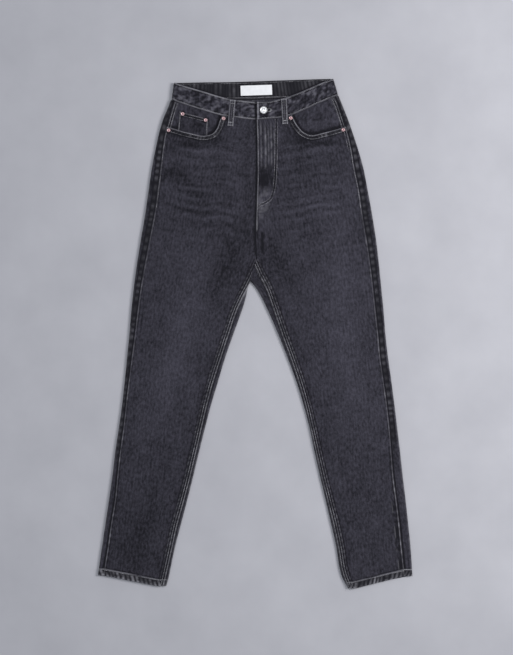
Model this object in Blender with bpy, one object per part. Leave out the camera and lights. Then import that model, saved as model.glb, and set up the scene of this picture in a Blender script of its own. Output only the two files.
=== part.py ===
"""A pair of washed black mom jeans lying flat on their back, front up.

The waist points along +Y and +X is the wearer's left. The cloth is a wall that runs round both
folded edges of each leg, so the back panels show as narrow strips beside the front ones.
All sizes in this file are millimetres and become metres when a mesh is made.
"""
import bpy
import bmesh
import numpy as np

MM = 0.001

# Middle of the outline in the tables' own x and y, which becomes the part's origin
MIDDLE = np.array([3.57, -1.5, 0.0])

# Cloth and the way it lies
WALL = 1.5
STACK = 6.0
FOLD_REACH = 4.5
GAP = 0.3
HALF_GAP = GAP / 2
FOLD_ANGLES = np.radians([90, 45, 0, -45, -90])

# The belt loops under the waistband hold the hip end up a little
LOOP_LIFT = 1.7
LIFT_FROM_Y = 385.0
LIFT_TO_Y = 478.0

# Side edges, as heights along the leg: where the cloth folds and where the side seam lies
SIDE_COLUMNS = ("y", "right_fold", "right_seam", "left_fold", "left_seam")
SIDE = [
    (500, -170.5, -161.0, 177.8, 168.5),
    (480, -177.0, -168.0, 186.0, 177.5),
    (450, -189.5, -177.0, 198.0, 188.0),
    (420, -198.5, -185.0, 208.5, 197.5),
    (390, -205.0, -190.0, 218.5, 204.5),
    (350, -213.0, -195.0, 230.0, 211.5),
    (300, -220.5, -201.0, 240.0, 221.5),
    (250, -227.5, -208.0, 249.0, 228.5),
    (200, -236.0, -217.5, 257.0, 237.0),
    (150, -244.0, -227.0, 263.0, 244.5),
    (100, -251.0, -236.0, 268.0, 250.5),
    (50, -256.5, -243.0, 273.0, 256.0),
    (0, -260.5, -249.0, 277.0, 261.5),
    (-50, -265.5, -255.5, 282.5, 266.0),
    (-100, -270.5, -262.0, 289.5, 273.0),
    (-150, -276.0, -268.0, 296.0, 280.0),
    (-200, -283.0, -273.5, 302.0, 285.5),
    (-250, -290.5, -280.5, 308.0, 289.5),
    (-300, -296.5, -286.0, 313.5, 293.5),
    (-350, -303.5, -291.0, 319.5, 300.0),
    (-400, -311.0, -299.0, 325.0, 306.0),
    (-450, -318.5, -306.0, 330.0, 311.0),
    (-510, -327.0, -316.0, 334.0, 317.5),
]

# Inner edges of the legs, below the notch where the two folds meet
INNER_COLUMNS = ("y", "right_fold", "left_fold")
INNER = [
    (108.5, -6.7, -6.7),
    (100, -10.5, 1.0),
    (75, -16.0, 17.0),
    (50, -23.5, 29.0),
    (25, -32.5, 40.5),
    (0, -41.5, 51.0),
    (-50, -59.0, 71.0),
    (-100, -74.0, 89.5),
    (-150, -89.0, 105.0),
    (-200, -102.0, 118.0),
    (-250, -114.5, 128.5),
    (-300, -126.5, 139.5),
    (-350, -139.0, 151.5),
    (-400, -152.0, 163.0),
    (-450, -165.0, 174.0),
    (-500, -175.5, 182.5),
    (-512, -178.0, 186.0),
    (-540, -186.0, 201.0),
]

# Inseams, from the crotch down
INSEAM_COLUMNS = ("y", "right", "left")
INSEAM = [
    (160, 7.0, 7.0),
    (152, 2.4, 10.7),
    (140, -3.0, 16.0),
    (125, -9.5, 23.0),
    (100, -22.0, 36.0),
    (75, -35.0, 45.5),
    (50, -46.0, 54.0),
    (0, -63.0, 71.0),
    (-50, -79.5, 89.0),
    (-100, -95.5, 106.0),
    (-150, -109.0, 120.0),
    (-200, -120.5, 131.5),
    (-250, -132.0, 142.5),
    (-300, -144.0, 154.0),
    (-350, -157.0, 166.5),
    (-400, -171.0, 179.0),
    (-450, -182.0, 189.5),
    (-500, -193.0, 198.0),
    (-540, -202.5, 213.0),
]

# Centre front, from the waistband to the crotch
CENTRE_COLUMNS = ("y", "x")
CENTRE = [(450, 6.5), (385, 8.4), (280, 6.9), (216, 5.4), (160, 7.0)]

CROTCH_Y = 160.0
NOTCH = np.array([-6.7, 108.5])
HEM = {"right": {"outer": -509.0, "inner": -532.0}, "left": {"outer": -510.5, "inner": -537.0}}
HEM_BAND = 15.0
HEM_RISE = 0.5
HEM_TILT_FROM = -265.0

# Rows that both panels of a leg share, by their height at the side seam
YOKE_SEAM_SIDE = 462.0
YOKE_SEAM_CENTRE = 420.0
POCKET_SIDE_Y = 433.0
ROWS = [YOKE_SEAM_SIDE, POCKET_SIDE_Y, 407, 394, 360, 325, 290, 262, 234, 221, 190, CROTCH_Y,
        152, 140, 127, 112, 107, 102, 90, 75, 55, 30, 0, -40, -85, -130, -175, -220, -265, -310,
        -355, -400, -440, -475]
CENTRE_BACK_ROWS = [YOKE_SEAM_CENTRE, 413, 407, 394]
CENTRE_FRONT_ROWS = [448, 425, 404, 365, 325]
CROTCH_ROW = ROWS.index(CROTCH_Y)
NOTCH_ROW = ROWS.index(112)
STRAIGHT_ROW = ROWS.index(325)
POCKET_ROWS = (ROWS.index(394), ROWS.index(234))

# Waistband: the front dips, the back is nearly straight
BAND_WALL = 2.2
BAND_HEIGHT = 6.5
BAND_TOP_COLUMNS = ("x", "front", "back")
BAND_TOP = [
    (-163.0, 524.3, 525.3),
    (-107.0, 507.8, 526.5),
    (-54.0, 492.5, 527.0),
    (-18.0, 487.2, 528.0),
    (7.4, 485.2, 528.8),
    (33.0, 486.2, 529.8),
    (58.0, 491.8, 530.7),
    (84.0, 500.2, 531.5),
    (109.0, 510.3, 532.3),
    (135.0, 521.9, 533.2),
    (163.5, 532.8, 533.6),
]
BAND_FOOT_COLUMNS = ("x", "front")
BAND_FOOT = [
    (-167.0, 494.5),
    (-150.0, 486.0),
    (-133.0, 478.4),
    (-94.0, 464.5),
    (-66.0, 456.4),
    (-33.0, 451.5),
    (7.4, 448.3),
    (45.0, 450.5),
    (81.0, 457.6),
    (109.0, 469.6),
    (142.0, 484.6),
    (173.7, 497.3),
]
BAND_CORNERS = {
    "right": {"top": (-167.3, 525.5), "foot": (-171.2, 495.8)},
    "left": {"top": (167.8, 534.0), "foot": (178.0, 498.8)},
}
BAND_BACK_FOOT = {"right": 494.8, "centre": 490.0, "left": 497.2}
BAND_END_X = 7.4
UNDERLAP_END_X = 38.0
BAND_X_RIGHT = [-66, -38, -20, -4]
BAND_X_RIGHT_FAR = [-145, -120, -94]
BAND_X_LEFT = [22, 40, 56, 81]
BAND_X_LEFT_FAR = [105, 128, 150]
BAND_BACK_STEPS = 12
BAND_REST_Z = 6.0
BAND_UNDER_Z = 4.3
BAND_OVER_Z = 6.9

# Mouths of the hip pockets
MOUTH_COLUMNS = ("right_x", "right_y", "left_x", "left_y")
MOUTH = [
    (-66.0, 456.0, 81.0, 457.0),
    (-71.0, 445.0, 86.5, 445.0),
    (-76.0, 431.0, 94.0, 433.0),
    (-85.0, 419.5, 104.5, 422.0),
    (-102.0, 414.5, 118.0, 416.0),
    (-130.0, 419.0, 148.5, 421.0),
    (-181.0, 433.0, 193.2, 433.0),
]
MOUTH_STEPS = 7
FACING_WALL = 1.0
FACING_LOW = 2.9
FACING_RISE = 1.1
FACING_RUN = 60.0
FACING_TUCK = 8.0
FACING_UNDER_BAND = 3.0
FACING_UNDER_SIDE = 2.0
FACING_ROWS = 6

# Fly: the wearer's left front lies over the right one
FLY_DROP = 1.2
FLY_DROP_WIDTH = 14.0
FLY_RISE = 0.6
FLY_WIDTH = 40.0
FLY_FOOT_Y = 262.0
ZIP_SIZE = (28.0, 205.0, 0.8)
ZIP_CENTRE = (8.0, 335.0)
ZIP_FLOOR = 1.9

# Soft rises and troughs of the front, by centre, direction in degrees, half length, half width, height
SWELL_COLUMNS = ("x", "y", "turn", "half_length", "half_width", "height")
SWELLS = [
    (-95, 330, 8, 95, 26, 0.5),
    (-60, 255, -12, 80, 24, -0.4),
    (120, 340, -10, 95, 26, 0.5),
    (85, 250, 14, 85, 24, -0.4),
    (-130, 90, 78, 130, 34, 0.6),
    (150, 80, 104, 140, 36, 0.6),
    (-175, -80, 20, 90, 34, -0.5),
    (195, -95, -16, 95, 34, -0.5),
    (-205, -250, 76, 120, 30, 0.5),
    (235, -270, 103, 125, 30, 0.5),
    (-235, -430, 12, 70, 28, -0.4),
    (255, -440, -14, 70, 28, -0.4),
]

# Back pockets, on the underside
BACK_POCKET = {"top_width": 140.0, "foot_width": 125.0, "height": 133.0, "point": 24.0, "wall": 1.2}
BACK_POCKET_X = {"right": -108.0, "left": 115.0}
BACK_POCKET_TOP = 392.5
BACK_POCKET_LIFT = 1.5
RAMP = 13.0

# Belt loops, from the top of the band to below its foot
LOOP_WIDTH = 12.0
LOOP_WALL = 1.2
LOOP_FRONT = {
    "belt_loop_front_right": {"top": (-43.5, 489.0), "foot": (-48.5, 434.5)},
    "belt_loop_front_left": {"top": (63.5, 491.5), "foot": (66.5, 438.5)},
}
LOOP_FRONT_Z = (8.55, 8.1)
LOOP_BACK_X = {"belt_loop_back_right": -96.0, "belt_loop_back_centre": 0.0, "belt_loop_back_left": 101.0}
LOOP_BACK_Y = (527.0, 473.0)

COIN_CORNERS = {"top": ((-155.0, 465.2), (-95.5, 449.6)), "foot": ((-160.0, 415.0), (-97.5, 408.5))}
LABEL = {"centre": (6.0, 510.0), "size": (66.0, 21.0, 0.6), "turn": 1.8}

# Metal
BUTTON_DIAMETER = 17.0
BUTTON_CENTRE = (21.2, 467.5)
RIVET_DIAMETER = 8.4
RIVETS = {
    "rivet_1": (-148.7, 460.0),
    "rivet_2": (-100.5, 447.0),
    "rivet_3": (-62.6, 450.3),
    "rivet_4": (-178.0, 425.5),
    "rivet_5": (78.4, 451.2),
    "rivet_6": (188.5, 426.5),
}
TURNED_STEPS = 20

FINISHES = {
    "denim": ((0.045, 0.042, 0.055, 1), 0.9, 0.0),
    "denim_inside": ((0.075, 0.073, 0.085, 1), 0.92, 0.0),
    "label_cloth": ((0.8, 0.8, 0.8, 1), 0.8, 0.0),
    "silver_metal": ((0.8, 0.8, 0.8, 1), 0.3, 1.0),
    "copper_metal": ((0.75, 0.5, 0.45, 1), 0.35, 1.0),
    "zip_tape": ((0.03, 0.03, 0.035, 1), 0.9, 0.0),
}

LEGS = ("right", "left")
OUT = {"right": -1.0, "left": 1.0}


def column(table, names, name):
    """One named column of a table, as an array."""
    return np.array([row[names.index(name)] for row in table], float)


def through(knots, values, at):
    """Smooth curve through a table: cubic pieces with the mean slope of their neighbours at each knot."""
    order = np.argsort(knots)
    knots, values = knots[order], values[order]
    slopes = np.gradient(values, knots)
    at = np.clip(np.asarray(at, float), knots[0], knots[-1])
    i = np.clip(np.searchsorted(knots, at) - 1, 0, len(knots) - 2)
    width = knots[i + 1] - knots[i]
    s = (at - knots[i]) / width
    start = (1 + 2 * s) * (1 - s) ** 2 * values[i] + s * (1 - s) ** 2 * width * slopes[i]
    end = s * s * (3 - 2 * s) * values[i + 1] + s * s * (s - 1) * width * slopes[i + 1]
    return start + end


def read(table, names, name, at):
    """A table's column at any height, or at any x where its first column is x."""
    return through(column(table, names, names[0]), column(table, names, name), at)


def ramp(value, start, end):
    """0 before start, 1 past end, straight between."""
    return np.clip((value - start) / (end - start), 0, 1)


def lift(y):
    """Height of the whole stack above the floor."""
    return LOOP_LIFT * ramp(y, LIFT_FROM_Y, LIFT_TO_Y)


def swell(x, y):
    """Soft rises and troughs of the front, each a rounded bump stretched along its own direction."""
    total = np.zeros(np.broadcast(x, y).shape)
    for row in SWELLS:
        bump = dict(zip(SWELL_COLUMNS, row))
        turn = np.radians(bump["turn"])
        along = np.cos(turn) * (x - bump["x"]) + np.sin(turn) * (y - bump["y"])
        across = -np.sin(turn) * (x - bump["x"]) + np.cos(turn) * (y - bump["y"])
        rounded = np.exp(-(along / bump["half_length"]) ** 2 - (across / bump["half_width"]) ** 2)
        total = total + bump["height"] * rounded
    return total


def centre_front(y):
    return read(CENTRE, CENTRE_COLUMNS, "x", y)


def centre_back(y):
    """Centre back seam on the underside, from the band to the notch."""
    return NOTCH[0] * ramp(-y, -200.0, -NOTCH[1] - FOLD_REACH)


def centre_back_on_top(y):
    """Centre back seam where it comes up between the legs, from the notch to the crotch."""
    foot = NOTCH[1] + FOLD_REACH
    return NOTCH[0] + (read(INSEAM, INSEAM_COLUMNS, "right", CROTCH_Y) - NOTCH[0]) * ramp(y, foot, CROTCH_Y)


def front_height(leg, x, y):
    """Top of a front panel: the stack, its swells, and the step at the fly."""
    from_centre = OUT[leg] * (x - centre_front(y))
    if leg == "right":
        fly = -FLY_DROP * np.exp(-(from_centre / FLY_DROP_WIDTH) ** 2) * ramp(y, CROTCH_Y, CROTCH_Y + 60)
    else:
        fly = FLY_RISE * ramp(-from_centre, -FLY_WIDTH - 15, -FLY_WIDTH) * ramp(y, FLY_FOOT_Y - 30, FLY_FOOT_Y)
    return lift(y) + STACK + swell(x, y) + fly


def side_fold(leg, y):
    """Point on the outer folded edge, and the direction into the cloth there."""
    step = 2.0
    name = leg + "_fold"
    x = read(SIDE, SIDE_COLUMNS, name, y)
    slope = (read(SIDE, SIDE_COLUMNS, name, y + step) - read(SIDE, SIDE_COLUMNS, name, y - step)) / (2 * step)
    inward = np.array([-OUT[leg], OUT[leg] * slope]) / np.hypot(1, slope)
    return np.array([x, y]), inward


def inner_fold(leg, row, y):
    """Point on the inner folded edge of a leg. The first rows turn the corner at the notch."""
    if row == NOTCH_ROW:
        return NOTCH + np.array([OUT[leg] * HALF_GAP, 0]), np.array([0.0, 1.0])
    step = 2.0
    name = leg + "_fold"
    slope = (read(INNER, INNER_COLUMNS, name, y + step) - read(INNER, INNER_COLUMNS, name, y - step)) / (2 * step)
    inward = np.array([OUT[leg], -OUT[leg] * slope]) / np.hypot(1, slope)
    if row == NOTCH_ROW + 1:
        inward = inward + np.array([0.0, 1.0])
        return NOTCH + np.array([OUT[leg] * 2.3, -1.0]), inward / np.hypot(*inward)
    return np.array([float(read(INNER, INNER_COLUMNS, name, y)), y]), inward


def round_fold(edge, inward, angle, base, height=STACK, wall=WALL):
    """Outer and inner point of the wall where it turns round an edge, from 90 degrees on top to -90 below."""
    out_xy = edge + inward * FOLD_REACH * (1 - np.cos(angle))
    in_xy = edge + inward * (wall + (FOLD_REACH - wall) * (1 - np.cos(angle)))
    out_z = base + height / 2 * (1 + np.sin(angle))
    in_z = base + height / 2 + (height / 2 - wall) * np.sin(angle)
    return np.array([*out_xy, out_z]), np.array([*in_xy, in_z])


def hem_tilt(y):
    """0 on the upper leg, 1 at the hem, which runs aslant."""
    return ramp(-y, -HEM_TILT_FROM, -HEM["right"]["outer"]) ** 2


def leg_rows(leg):
    """Heights of each row at the side seam and at the inseam."""
    hem = HEM[leg]
    side = np.array(ROWS + [hem["outer"] + HEM_BAND, hem["outer"]], float)
    inner = side + hem_tilt(side) * (hem["inner"] - hem["outer"])
    inner[-1] = hem["inner"]
    return side, inner


def shell(name, skins, finish):
    """Closed body between an outer and an inner skin that share their faces, rimmed round every free edge.

    skins holds (outer, inner) arrays of rows by columns by 3. Points that two grids share are welded.
    """
    outer = np.concatenate([grid.reshape(-1, 3) for grid, _ in skins])
    inner = np.concatenate([grid.reshape(-1, 3) for _, grid in skins])
    faces = []
    start = 0
    for grid, _ in skins:
        rows, columns = grid.shape[:2]
        index = start + np.arange(rows * columns).reshape(rows, columns)
        quads = np.stack([index[:-1, :-1], index[:-1, 1:], index[1:, 1:], index[1:, :-1]], axis=-1)
        faces.append(quads.reshape(-1, 4))
        start += rows * columns
    _, first, same = np.unique(np.round(outer, 5), axis=0, return_index=True, return_inverse=True)
    faces = same.reshape(-1)[np.concatenate(faces)]
    outer, inner = outer[first], inner[first]
    count = len(outer)
    edges = np.concatenate([np.stack([faces[:, i], faces[:, (i + 1) % 4]], axis=1) for i in range(4)])
    paired = {tuple(edge) for edge in edges}
    free = np.array([edge for edge in edges if (edge[1], edge[0]) not in paired])
    rim = np.stack([free[:, 1], free[:, 0], free[:, 0] + count, free[:, 1] + count], axis=1)
    all_faces = np.concatenate([faces, faces[:, ::-1] + count, rim])
    make_mesh(name, np.concatenate([outer, inner]), all_faces.tolist(), finish)


def make_mesh(name, points, faces, finish):
    mesh = bpy.data.meshes.new(name)
    mesh.from_pydata(((np.asarray(points) - MIDDLE) * MM).tolist(), [], faces)
    form = bmesh.new()
    form.from_mesh(mesh)
    bmesh.ops.recalc_face_normals(form, faces=form.faces)
    form.to_mesh(mesh)
    form.free()
    mesh.shade_smooth()
    mesh.set_sharp_from_angle(angle=np.radians(50))
    mesh.materials.append(material(finish))
    item = bpy.data.objects.new(name, mesh)
    bpy.context.scene.collection.objects.link(item)
    return item


def material(finish):
    if finish in bpy.data.materials:
        return bpy.data.materials[finish]
    colour, roughness, metallic = FINISHES[finish]
    made = bpy.data.materials.new(finish)
    made.use_nodes = True
    shader = made.node_tree.nodes["Principled BSDF"]
    shader.inputs["Base Color"].default_value = colour
    shader.inputs["Roughness"].default_value = roughness
    shader.inputs["Metallic"].default_value = metallic
    made.diffuse_color = colour
    return made


def slab(top, wall):
    """Outer and inner skin of a piece that lies flat: its top surface, and the same points lower down."""
    under = top.copy()
    under[..., 2] -= wall
    return top, under


def underside_x(leg, row, start_x, end_x):
    """Six columns across the underside, set beside the back pocket, and at like shares of the width elsewhere."""
    half = BACK_POCKET["top_width"] / 2
    centre = BACK_POCKET_X[leg]
    offsets = np.array([half + RAMP + 1, half + 1, half / 3, -half / 3, -half - 1, -half - RAMP - 1])
    wanted = centre + OUT[leg] * offsets
    side, _ = leg_rows(leg)
    near = min(max(row, POCKET_ROWS[0] - 1), POCKET_ROWS[1] + 1)
    edge, inward = side_fold(leg, side[near])
    from_x = (edge + inward * FOLD_REACH)[0]
    to_x = centre_back(side[near])
    share = (wanted - from_x) / (to_x - from_x)
    return start_x + share * (end_x - start_x)


def back_row(leg, row, side_y, seam_y, end_xy, raised=False):
    """One row of a back panel from the side seam round the outer fold and across the underside to end_xy."""
    edge, inward = side_fold(leg, side_y)
    seam_x = read(SIDE, SIDE_COLUMNS, leg + "_seam", seam_y) + OUT[leg] * HALF_GAP
    seam_z = lift(seam_y) + STACK + swell(seam_x, seam_y) + hem_rise(row)
    points = [(np.array([seam_x, seam_y, seam_z]), np.array([seam_x, seam_y, seam_z - WALL - hem_rise(row)]))]
    for angle in FOLD_ANGLES:
        points.append(round_fold(edge, inward, angle, lift(side_y), STACK + hem_rise(row)))
    start = points[-1][0]
    for place, x in enumerate(underside_x(leg, row, start[0], end_xy[0])):
        share = (x - start[0]) / (end_xy[0] - start[0])
        y = start[1] + share * (end_xy[1] - start[1])
        z = lift(y) + (BACK_POCKET_LIFT if raised and 0 < place < 5 else 0.0)
        points.append((np.array([x, y, z]), np.array([x, y, z + WALL])))
    return points


def hem_rise(row):
    """The turned hem is a little thicker than the leg."""
    return HEM_RISE if row >= len(ROWS) else 0.0


def back_panel(leg):
    side, inner = leg_rows(leg)
    whole = []
    wrap = []
    for row in range(len(side)):
        raised = POCKET_ROWS[0] <= row <= POCKET_ROWS[1]
        if row < NOTCH_ROW:
            centre_y = CENTRE_BACK_ROWS[row] if row < len(CENTRE_BACK_ROWS) else side[row]
            drop = HALF_GAP if row == 0 else 0.0
            end = np.array([centre_back(centre_y) + OUT[leg] * HALF_GAP, centre_y - drop])
            points = back_row(leg, row, side[row] - drop, side[row] - drop, end, raised)
            base = lift(end[1])
            points.append((np.array([*end, base]), np.array([*end, base + WALL])))
            whole.append(points)
            continue
        fold_y = {NOTCH_ROW: NOTCH[1], NOTCH_ROW + 1: NOTCH[1] - 1}.get(row, inner[row])
        edge, inward = inner_fold(leg, row, fold_y)
        height = STACK + hem_rise(row)
        turned = [round_fold(edge, inward, angle, 0.0, height) for angle in FOLD_ANGLES[::-1]]
        points = back_row(leg, row, side[row], side[row], turned[0][0][:2]) + turned[:1]
        whole.append(points)
        wrap.append(turned + wrap_points(leg, row, turned[-1][0], inner[row]))
    whole = np.array(whole)
    wrap = np.array(wrap)
    between = between_legs(leg, wrap[0])
    grids = [whole, wrap, between]
    shell(f"back_panel_{leg}", [(grid[:, :, 0], grid[:, :, 1]) for grid in grids], "denim")


def wrap_points(leg, row, start, seam_y):
    """From the top of the inner fold across to the inseam."""
    seam_x = read(INSEAM, INSEAM_COLUMNS, leg, seam_y) - OUT[leg] * HALF_GAP
    middle = (start[:2] + np.array([seam_x, seam_y])) / 2
    height = STACK + hem_rise(row)
    points = []
    for (x, y), blend in ((middle, 0.5), ((seam_x, seam_y), 1.0)):
        z = height + blend * swell(x, y)
        points.append((np.array([x, y, z]), np.array([x, y, STACK + blend * swell(x, y) - WALL])))
    return points


def between_legs(leg, notch_row):
    """The part of a back panel that shows between the notch and the crotch."""
    side, _ = leg_rows(leg)
    rows = [notch_row[-3:]]
    for row in range(NOTCH_ROW - 1, CROTCH_ROW, -1):
        y = side[row]
        start = centre_back_on_top(y) + OUT[leg] * HALF_GAP
        end = read(INSEAM, INSEAM_COLUMNS, leg, y) - OUT[leg] * HALF_GAP
        points = []
        for share in (0.0, 0.5, 1.0):
            x = start + share * (end - start)
            z = STACK + share * swell(x, y)
            points.append((np.array([x, y, z]), np.array([x, y, z - WALL])))
        rows.append(points)
    return np.array(rows[::-1])


def yoke(leg):
    """Back yoke: from the foot of the waistband to the yoke seam, round the outer fold to the side seam."""
    foot = BAND_BACK_FOOT
    corner = BAND_CORNERS[leg]["foot"][1]
    seam_tops = read(BAND_FOOT, BAND_FOOT_COLUMNS, "front", read(SIDE, SIDE_COLUMNS, leg + "_seam", corner - 5))
    side = [corner - 0.5, 478.0, YOKE_SEAM_SIDE + HALF_GAP]
    seam = [seam_tops - GAP, 477.0, YOKE_SEAM_SIDE + HALF_GAP]
    centre = [foot["centre"] - 0.4, 456.0, YOKE_SEAM_CENTRE + HALF_GAP]
    grid = []
    for side_y, seam_y, centre_y in zip(side, seam, centre):
        end = np.array([OUT[leg] * HALF_GAP, centre_y])
        points = back_row(leg, 0, side_y, seam_y, end)
        points.append((np.array([*end, lift(centre_y)]), np.array([*end, lift(centre_y) + WALL])))
        grid.append(points)
    grid = np.array(grid)
    shell(f"yoke_{leg}", [(grid[:, :, 0], grid[:, :, 1])], "denim")


def along(points, steps):
    """Evenly spaced points on a smooth curve through the given ones, by its length."""
    points = np.asarray(points, float)
    length = np.concatenate([[0], np.cumsum(np.hypot(*np.diff(points, axis=0).T))])
    at = np.linspace(0, length[-1], steps + 1)
    return np.stack([through(length, points[:, 0], at), through(length, points[:, 1], at)], axis=1)


def mouth(leg, steps=MOUTH_STEPS):
    """The pocket's mouth from its corner at the band to its corner at the side seam."""
    xs = column(MOUTH, MOUTH_COLUMNS, leg + "_x")
    ys = column(MOUTH, MOUTH_COLUMNS, leg + "_y")
    curve = along(np.stack([xs, ys], axis=1), steps)
    curve[-1, 0] = read(SIDE, SIDE_COLUMNS, leg + "_seam", POCKET_SIDE_Y)
    return curve


def front_top(leg):
    """Top edge of a front panel: along the band's foot, then down round the pocket's mouth."""
    stations = BAND_X_RIGHT[::-1] if leg == "right" else BAND_X_LEFT
    start = centre_front(448.0)
    xs = np.array([start, *stations], float)
    band = np.stack([xs, read(BAND_FOOT, BAND_FOOT_COLUMNS, "front", xs) - GAP], axis=1)
    curve = mouth(leg)
    curve[0, 1] = band[-1, 1]
    return np.concatenate([band[:-1], curve])


def front_panel(leg):
    """Front panel: a straight grid down the leg, blended at the top into the band's foot and the pocket's mouth."""
    side_all, inner_all = leg_rows(leg)
    side = side_all[1:]
    inner = inner_all[1:].copy()
    inner[:len(CENTRE_FRONT_ROWS)] = CENTRE_FRONT_ROWS
    top = front_top(leg)
    inner[0] = top[0, 1]
    crotch = CROTCH_ROW - 1
    rows = np.arange(len(side))
    inner_x = np.where(rows < crotch, centre_front(inner), read(INSEAM, INSEAM_COLUMNS, leg, inner))
    inner_x = inner_x + OUT[leg] * HALF_GAP
    side_x = read(SIDE, SIDE_COLUMNS, leg + "_seam", side) - OUT[leg] * HALF_GAP
    top[0, 0] = inner_x[0]
    top[-1, 0] = side_x[0]
    share = (top[:, 0] - top[0, 0]) / (top[-1, 0] - top[0, 0])
    start = np.stack([inner_x, inner], axis=1)
    end = np.stack([side_x, side], axis=1)
    flat = start[:, None] + share[None, :, None] * (end - start)[:, None]
    sag = top - flat[0]
    last = STRAIGHT_ROW - 1
    fade = np.clip(1 - rows / last, 0, 1)
    plan = flat + fade[:, None, None] * sag[None]
    height = front_height(leg, plan[..., 0], plan[..., 1])
    thick = np.where(rows >= len(side) - 2, HEM_RISE, 0.0)[:, None]
    upper = np.concatenate([plan, (height + thick)[..., None]], axis=2)
    lower = np.concatenate([plan, (height - WALL)[..., None]], axis=2)
    shell(f"front_panel_{leg}", [(upper, lower)], "denim")


def facing_height(leg, x, y):
    """Top of a pocket facing: low under the mouth's edge, higher towards the band and the side."""
    xs = column(MOUTH, MOUTH_COLUMNS, leg + "_x")
    ys = column(MOUTH, MOUTH_COLUMNS, leg + "_y")
    above = y - through(xs, ys, x)
    return lift(y) + FACING_LOW + FACING_RISE * ramp(above, 0.0, FACING_RUN)


def pocket_facing(leg):
    """Denim behind the pocket's mouth, tucked under the front panel, the band and the side."""
    out = OUT[leg]
    steps = 9
    turn_at = 6
    curve = mouth(leg, steps)
    heading = np.gradient(curve, axis=0)
    heading /= np.hypot(heading[:, 0], heading[:, 1])[:, None]
    inner = curve + FACING_TUCK * out * np.stack([heading[:, 1], -heading[:, 0]], axis=1)
    start_x = curve[0, 0] - out * FACING_TUCK
    corner_y = BAND_CORNERS[leg]["foot"][1] - 4
    corner_x = read(SIDE, SIDE_COLUMNS, leg + "_seam", corner_y) + out * FACING_UNDER_SIDE
    band_x = np.linspace(start_x, corner_x, turn_at + 1)
    band_y = read(BAND_FOOT, BAND_FOOT_COLUMNS, "front", band_x) + FACING_UNDER_BAND
    side_y = np.linspace(band_y[-1], POCKET_SIDE_Y - FACING_TUCK, steps - turn_at + 1)[1:]
    side_x = read(SIDE, SIDE_COLUMNS, leg + "_seam", side_y) + out * FACING_UNDER_SIDE
    outer = np.stack([np.concatenate([band_x, side_x]), np.concatenate([band_y, side_y])], axis=1)
    inner[0] = [start_x, outer[0, 1] - 2 * FACING_TUCK]
    inner[-1] = [side_x[-1] - out * 2 * FACING_TUCK, side_y[-1] - 1]
    share = np.linspace(0, 1, FACING_ROWS)[:, None, None]
    plan = inner[None] * (1 - share) + outer[None] * share
    height = facing_height(leg, plan[..., 0], plan[..., 1])
    top = np.concatenate([plan, height[..., None]], axis=2)
    shell(f"pocket_facing_{leg}", [slab(top, FACING_WALL)], "denim")


def patch(corners, rows, columns):
    """Flat grid between four corners, given as a top pair and a foot pair."""
    (a, b), (c, d) = np.array(corners["top"]), np.array(corners["foot"])
    down = np.linspace(0, 1, rows)[:, None, None]
    across = np.linspace(0, 1, columns)[None, :, None]
    return (1 - down) * ((1 - across) * a + across * b) + down * ((1 - across) * c + across * d)


def coin_pocket():
    plan = patch(COIN_CORNERS, 7, 7)
    height = facing_height("right", plan[..., 0], plan[..., 1]) + GAP + FACING_WALL
    top = np.concatenate([plan, height[..., None]], axis=2)
    shell("coin_pocket", [slab(top, FACING_WALL)], "denim")


def band_floor(x, leg):
    """Underside of the band's front half. The wearer's right end dips under the left end."""
    if leg == "right":
        return BAND_REST_Z + (BAND_UNDER_Z - BAND_REST_Z) * ramp(x, -38.0, -4.0)
    return BAND_OVER_Z + (BAND_REST_Z - BAND_OVER_Z) * ramp(x, 40.0, 56.0)


def band_front_station(x, leg):
    """Three points down the band at x, outside and inside. The top edge is a little narrower than the foot."""
    top_x = x * 0.977
    top = np.array([top_x, read(BAND_TOP, BAND_TOP_COLUMNS, "front", top_x)])
    foot = np.array([x, read(BAND_FOOT, BAND_FOOT_COLUMNS, "front", x)])
    floor = float(band_floor(x, leg))
    points = []
    for share in (0.0, 0.5, 1.0):
        xy = top + share * (foot - top)
        points.append((np.array([*xy, floor + BAND_WALL]), np.array([*xy, floor])))
    return points


def band_fold_stations(leg):
    """The band's own folds at the two sides, from 90 degrees on top to -90 below."""
    top, foot = (np.array(BAND_CORNERS[leg][name]) for name in ("top", "foot"))
    edge = top - foot
    inward = np.array([-OUT[leg] * edge[1], OUT[leg] * edge[0]]) / np.hypot(*edge)
    stations = []
    for angle in FOLD_ANGLES:
        places = [top + share * (foot - top) for share in (0.0, 0.5, 1.0)]
        stations.append([round_fold(place, inward, angle, LOOP_LIFT, BAND_HEIGHT, BAND_WALL) for place in places])
    return stations


def band_back_station(share, start, end):
    """Three points down the band on the underside, a share of the way from one fold to the other."""
    points = []
    left_x = start[0][0][0]
    right_x = end[0][0][0]
    top_x = left_x + share * (right_x - left_x)
    foot_x = start[2][0][0] + share * (end[2][0][0] - start[2][0][0])
    top = np.array([top_x, read(BAND_TOP, BAND_TOP_COLUMNS, "back", top_x)])
    ends = (BAND_CORNERS["right"]["foot"][0], 0.0, BAND_CORNERS["left"]["foot"][0])
    foot_y = np.interp(foot_x, ends, [BAND_BACK_FOOT[name] for name in ("right", "centre", "left")])
    foot = np.array([foot_x, foot_y])
    for down in (0.0, 0.5, 1.0):
        xy = top + down * (foot - top)
        points.append((np.array([*xy, LOOP_LIFT]), np.array([*xy, LOOP_LIFT + BAND_WALL])))
    return points


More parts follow.
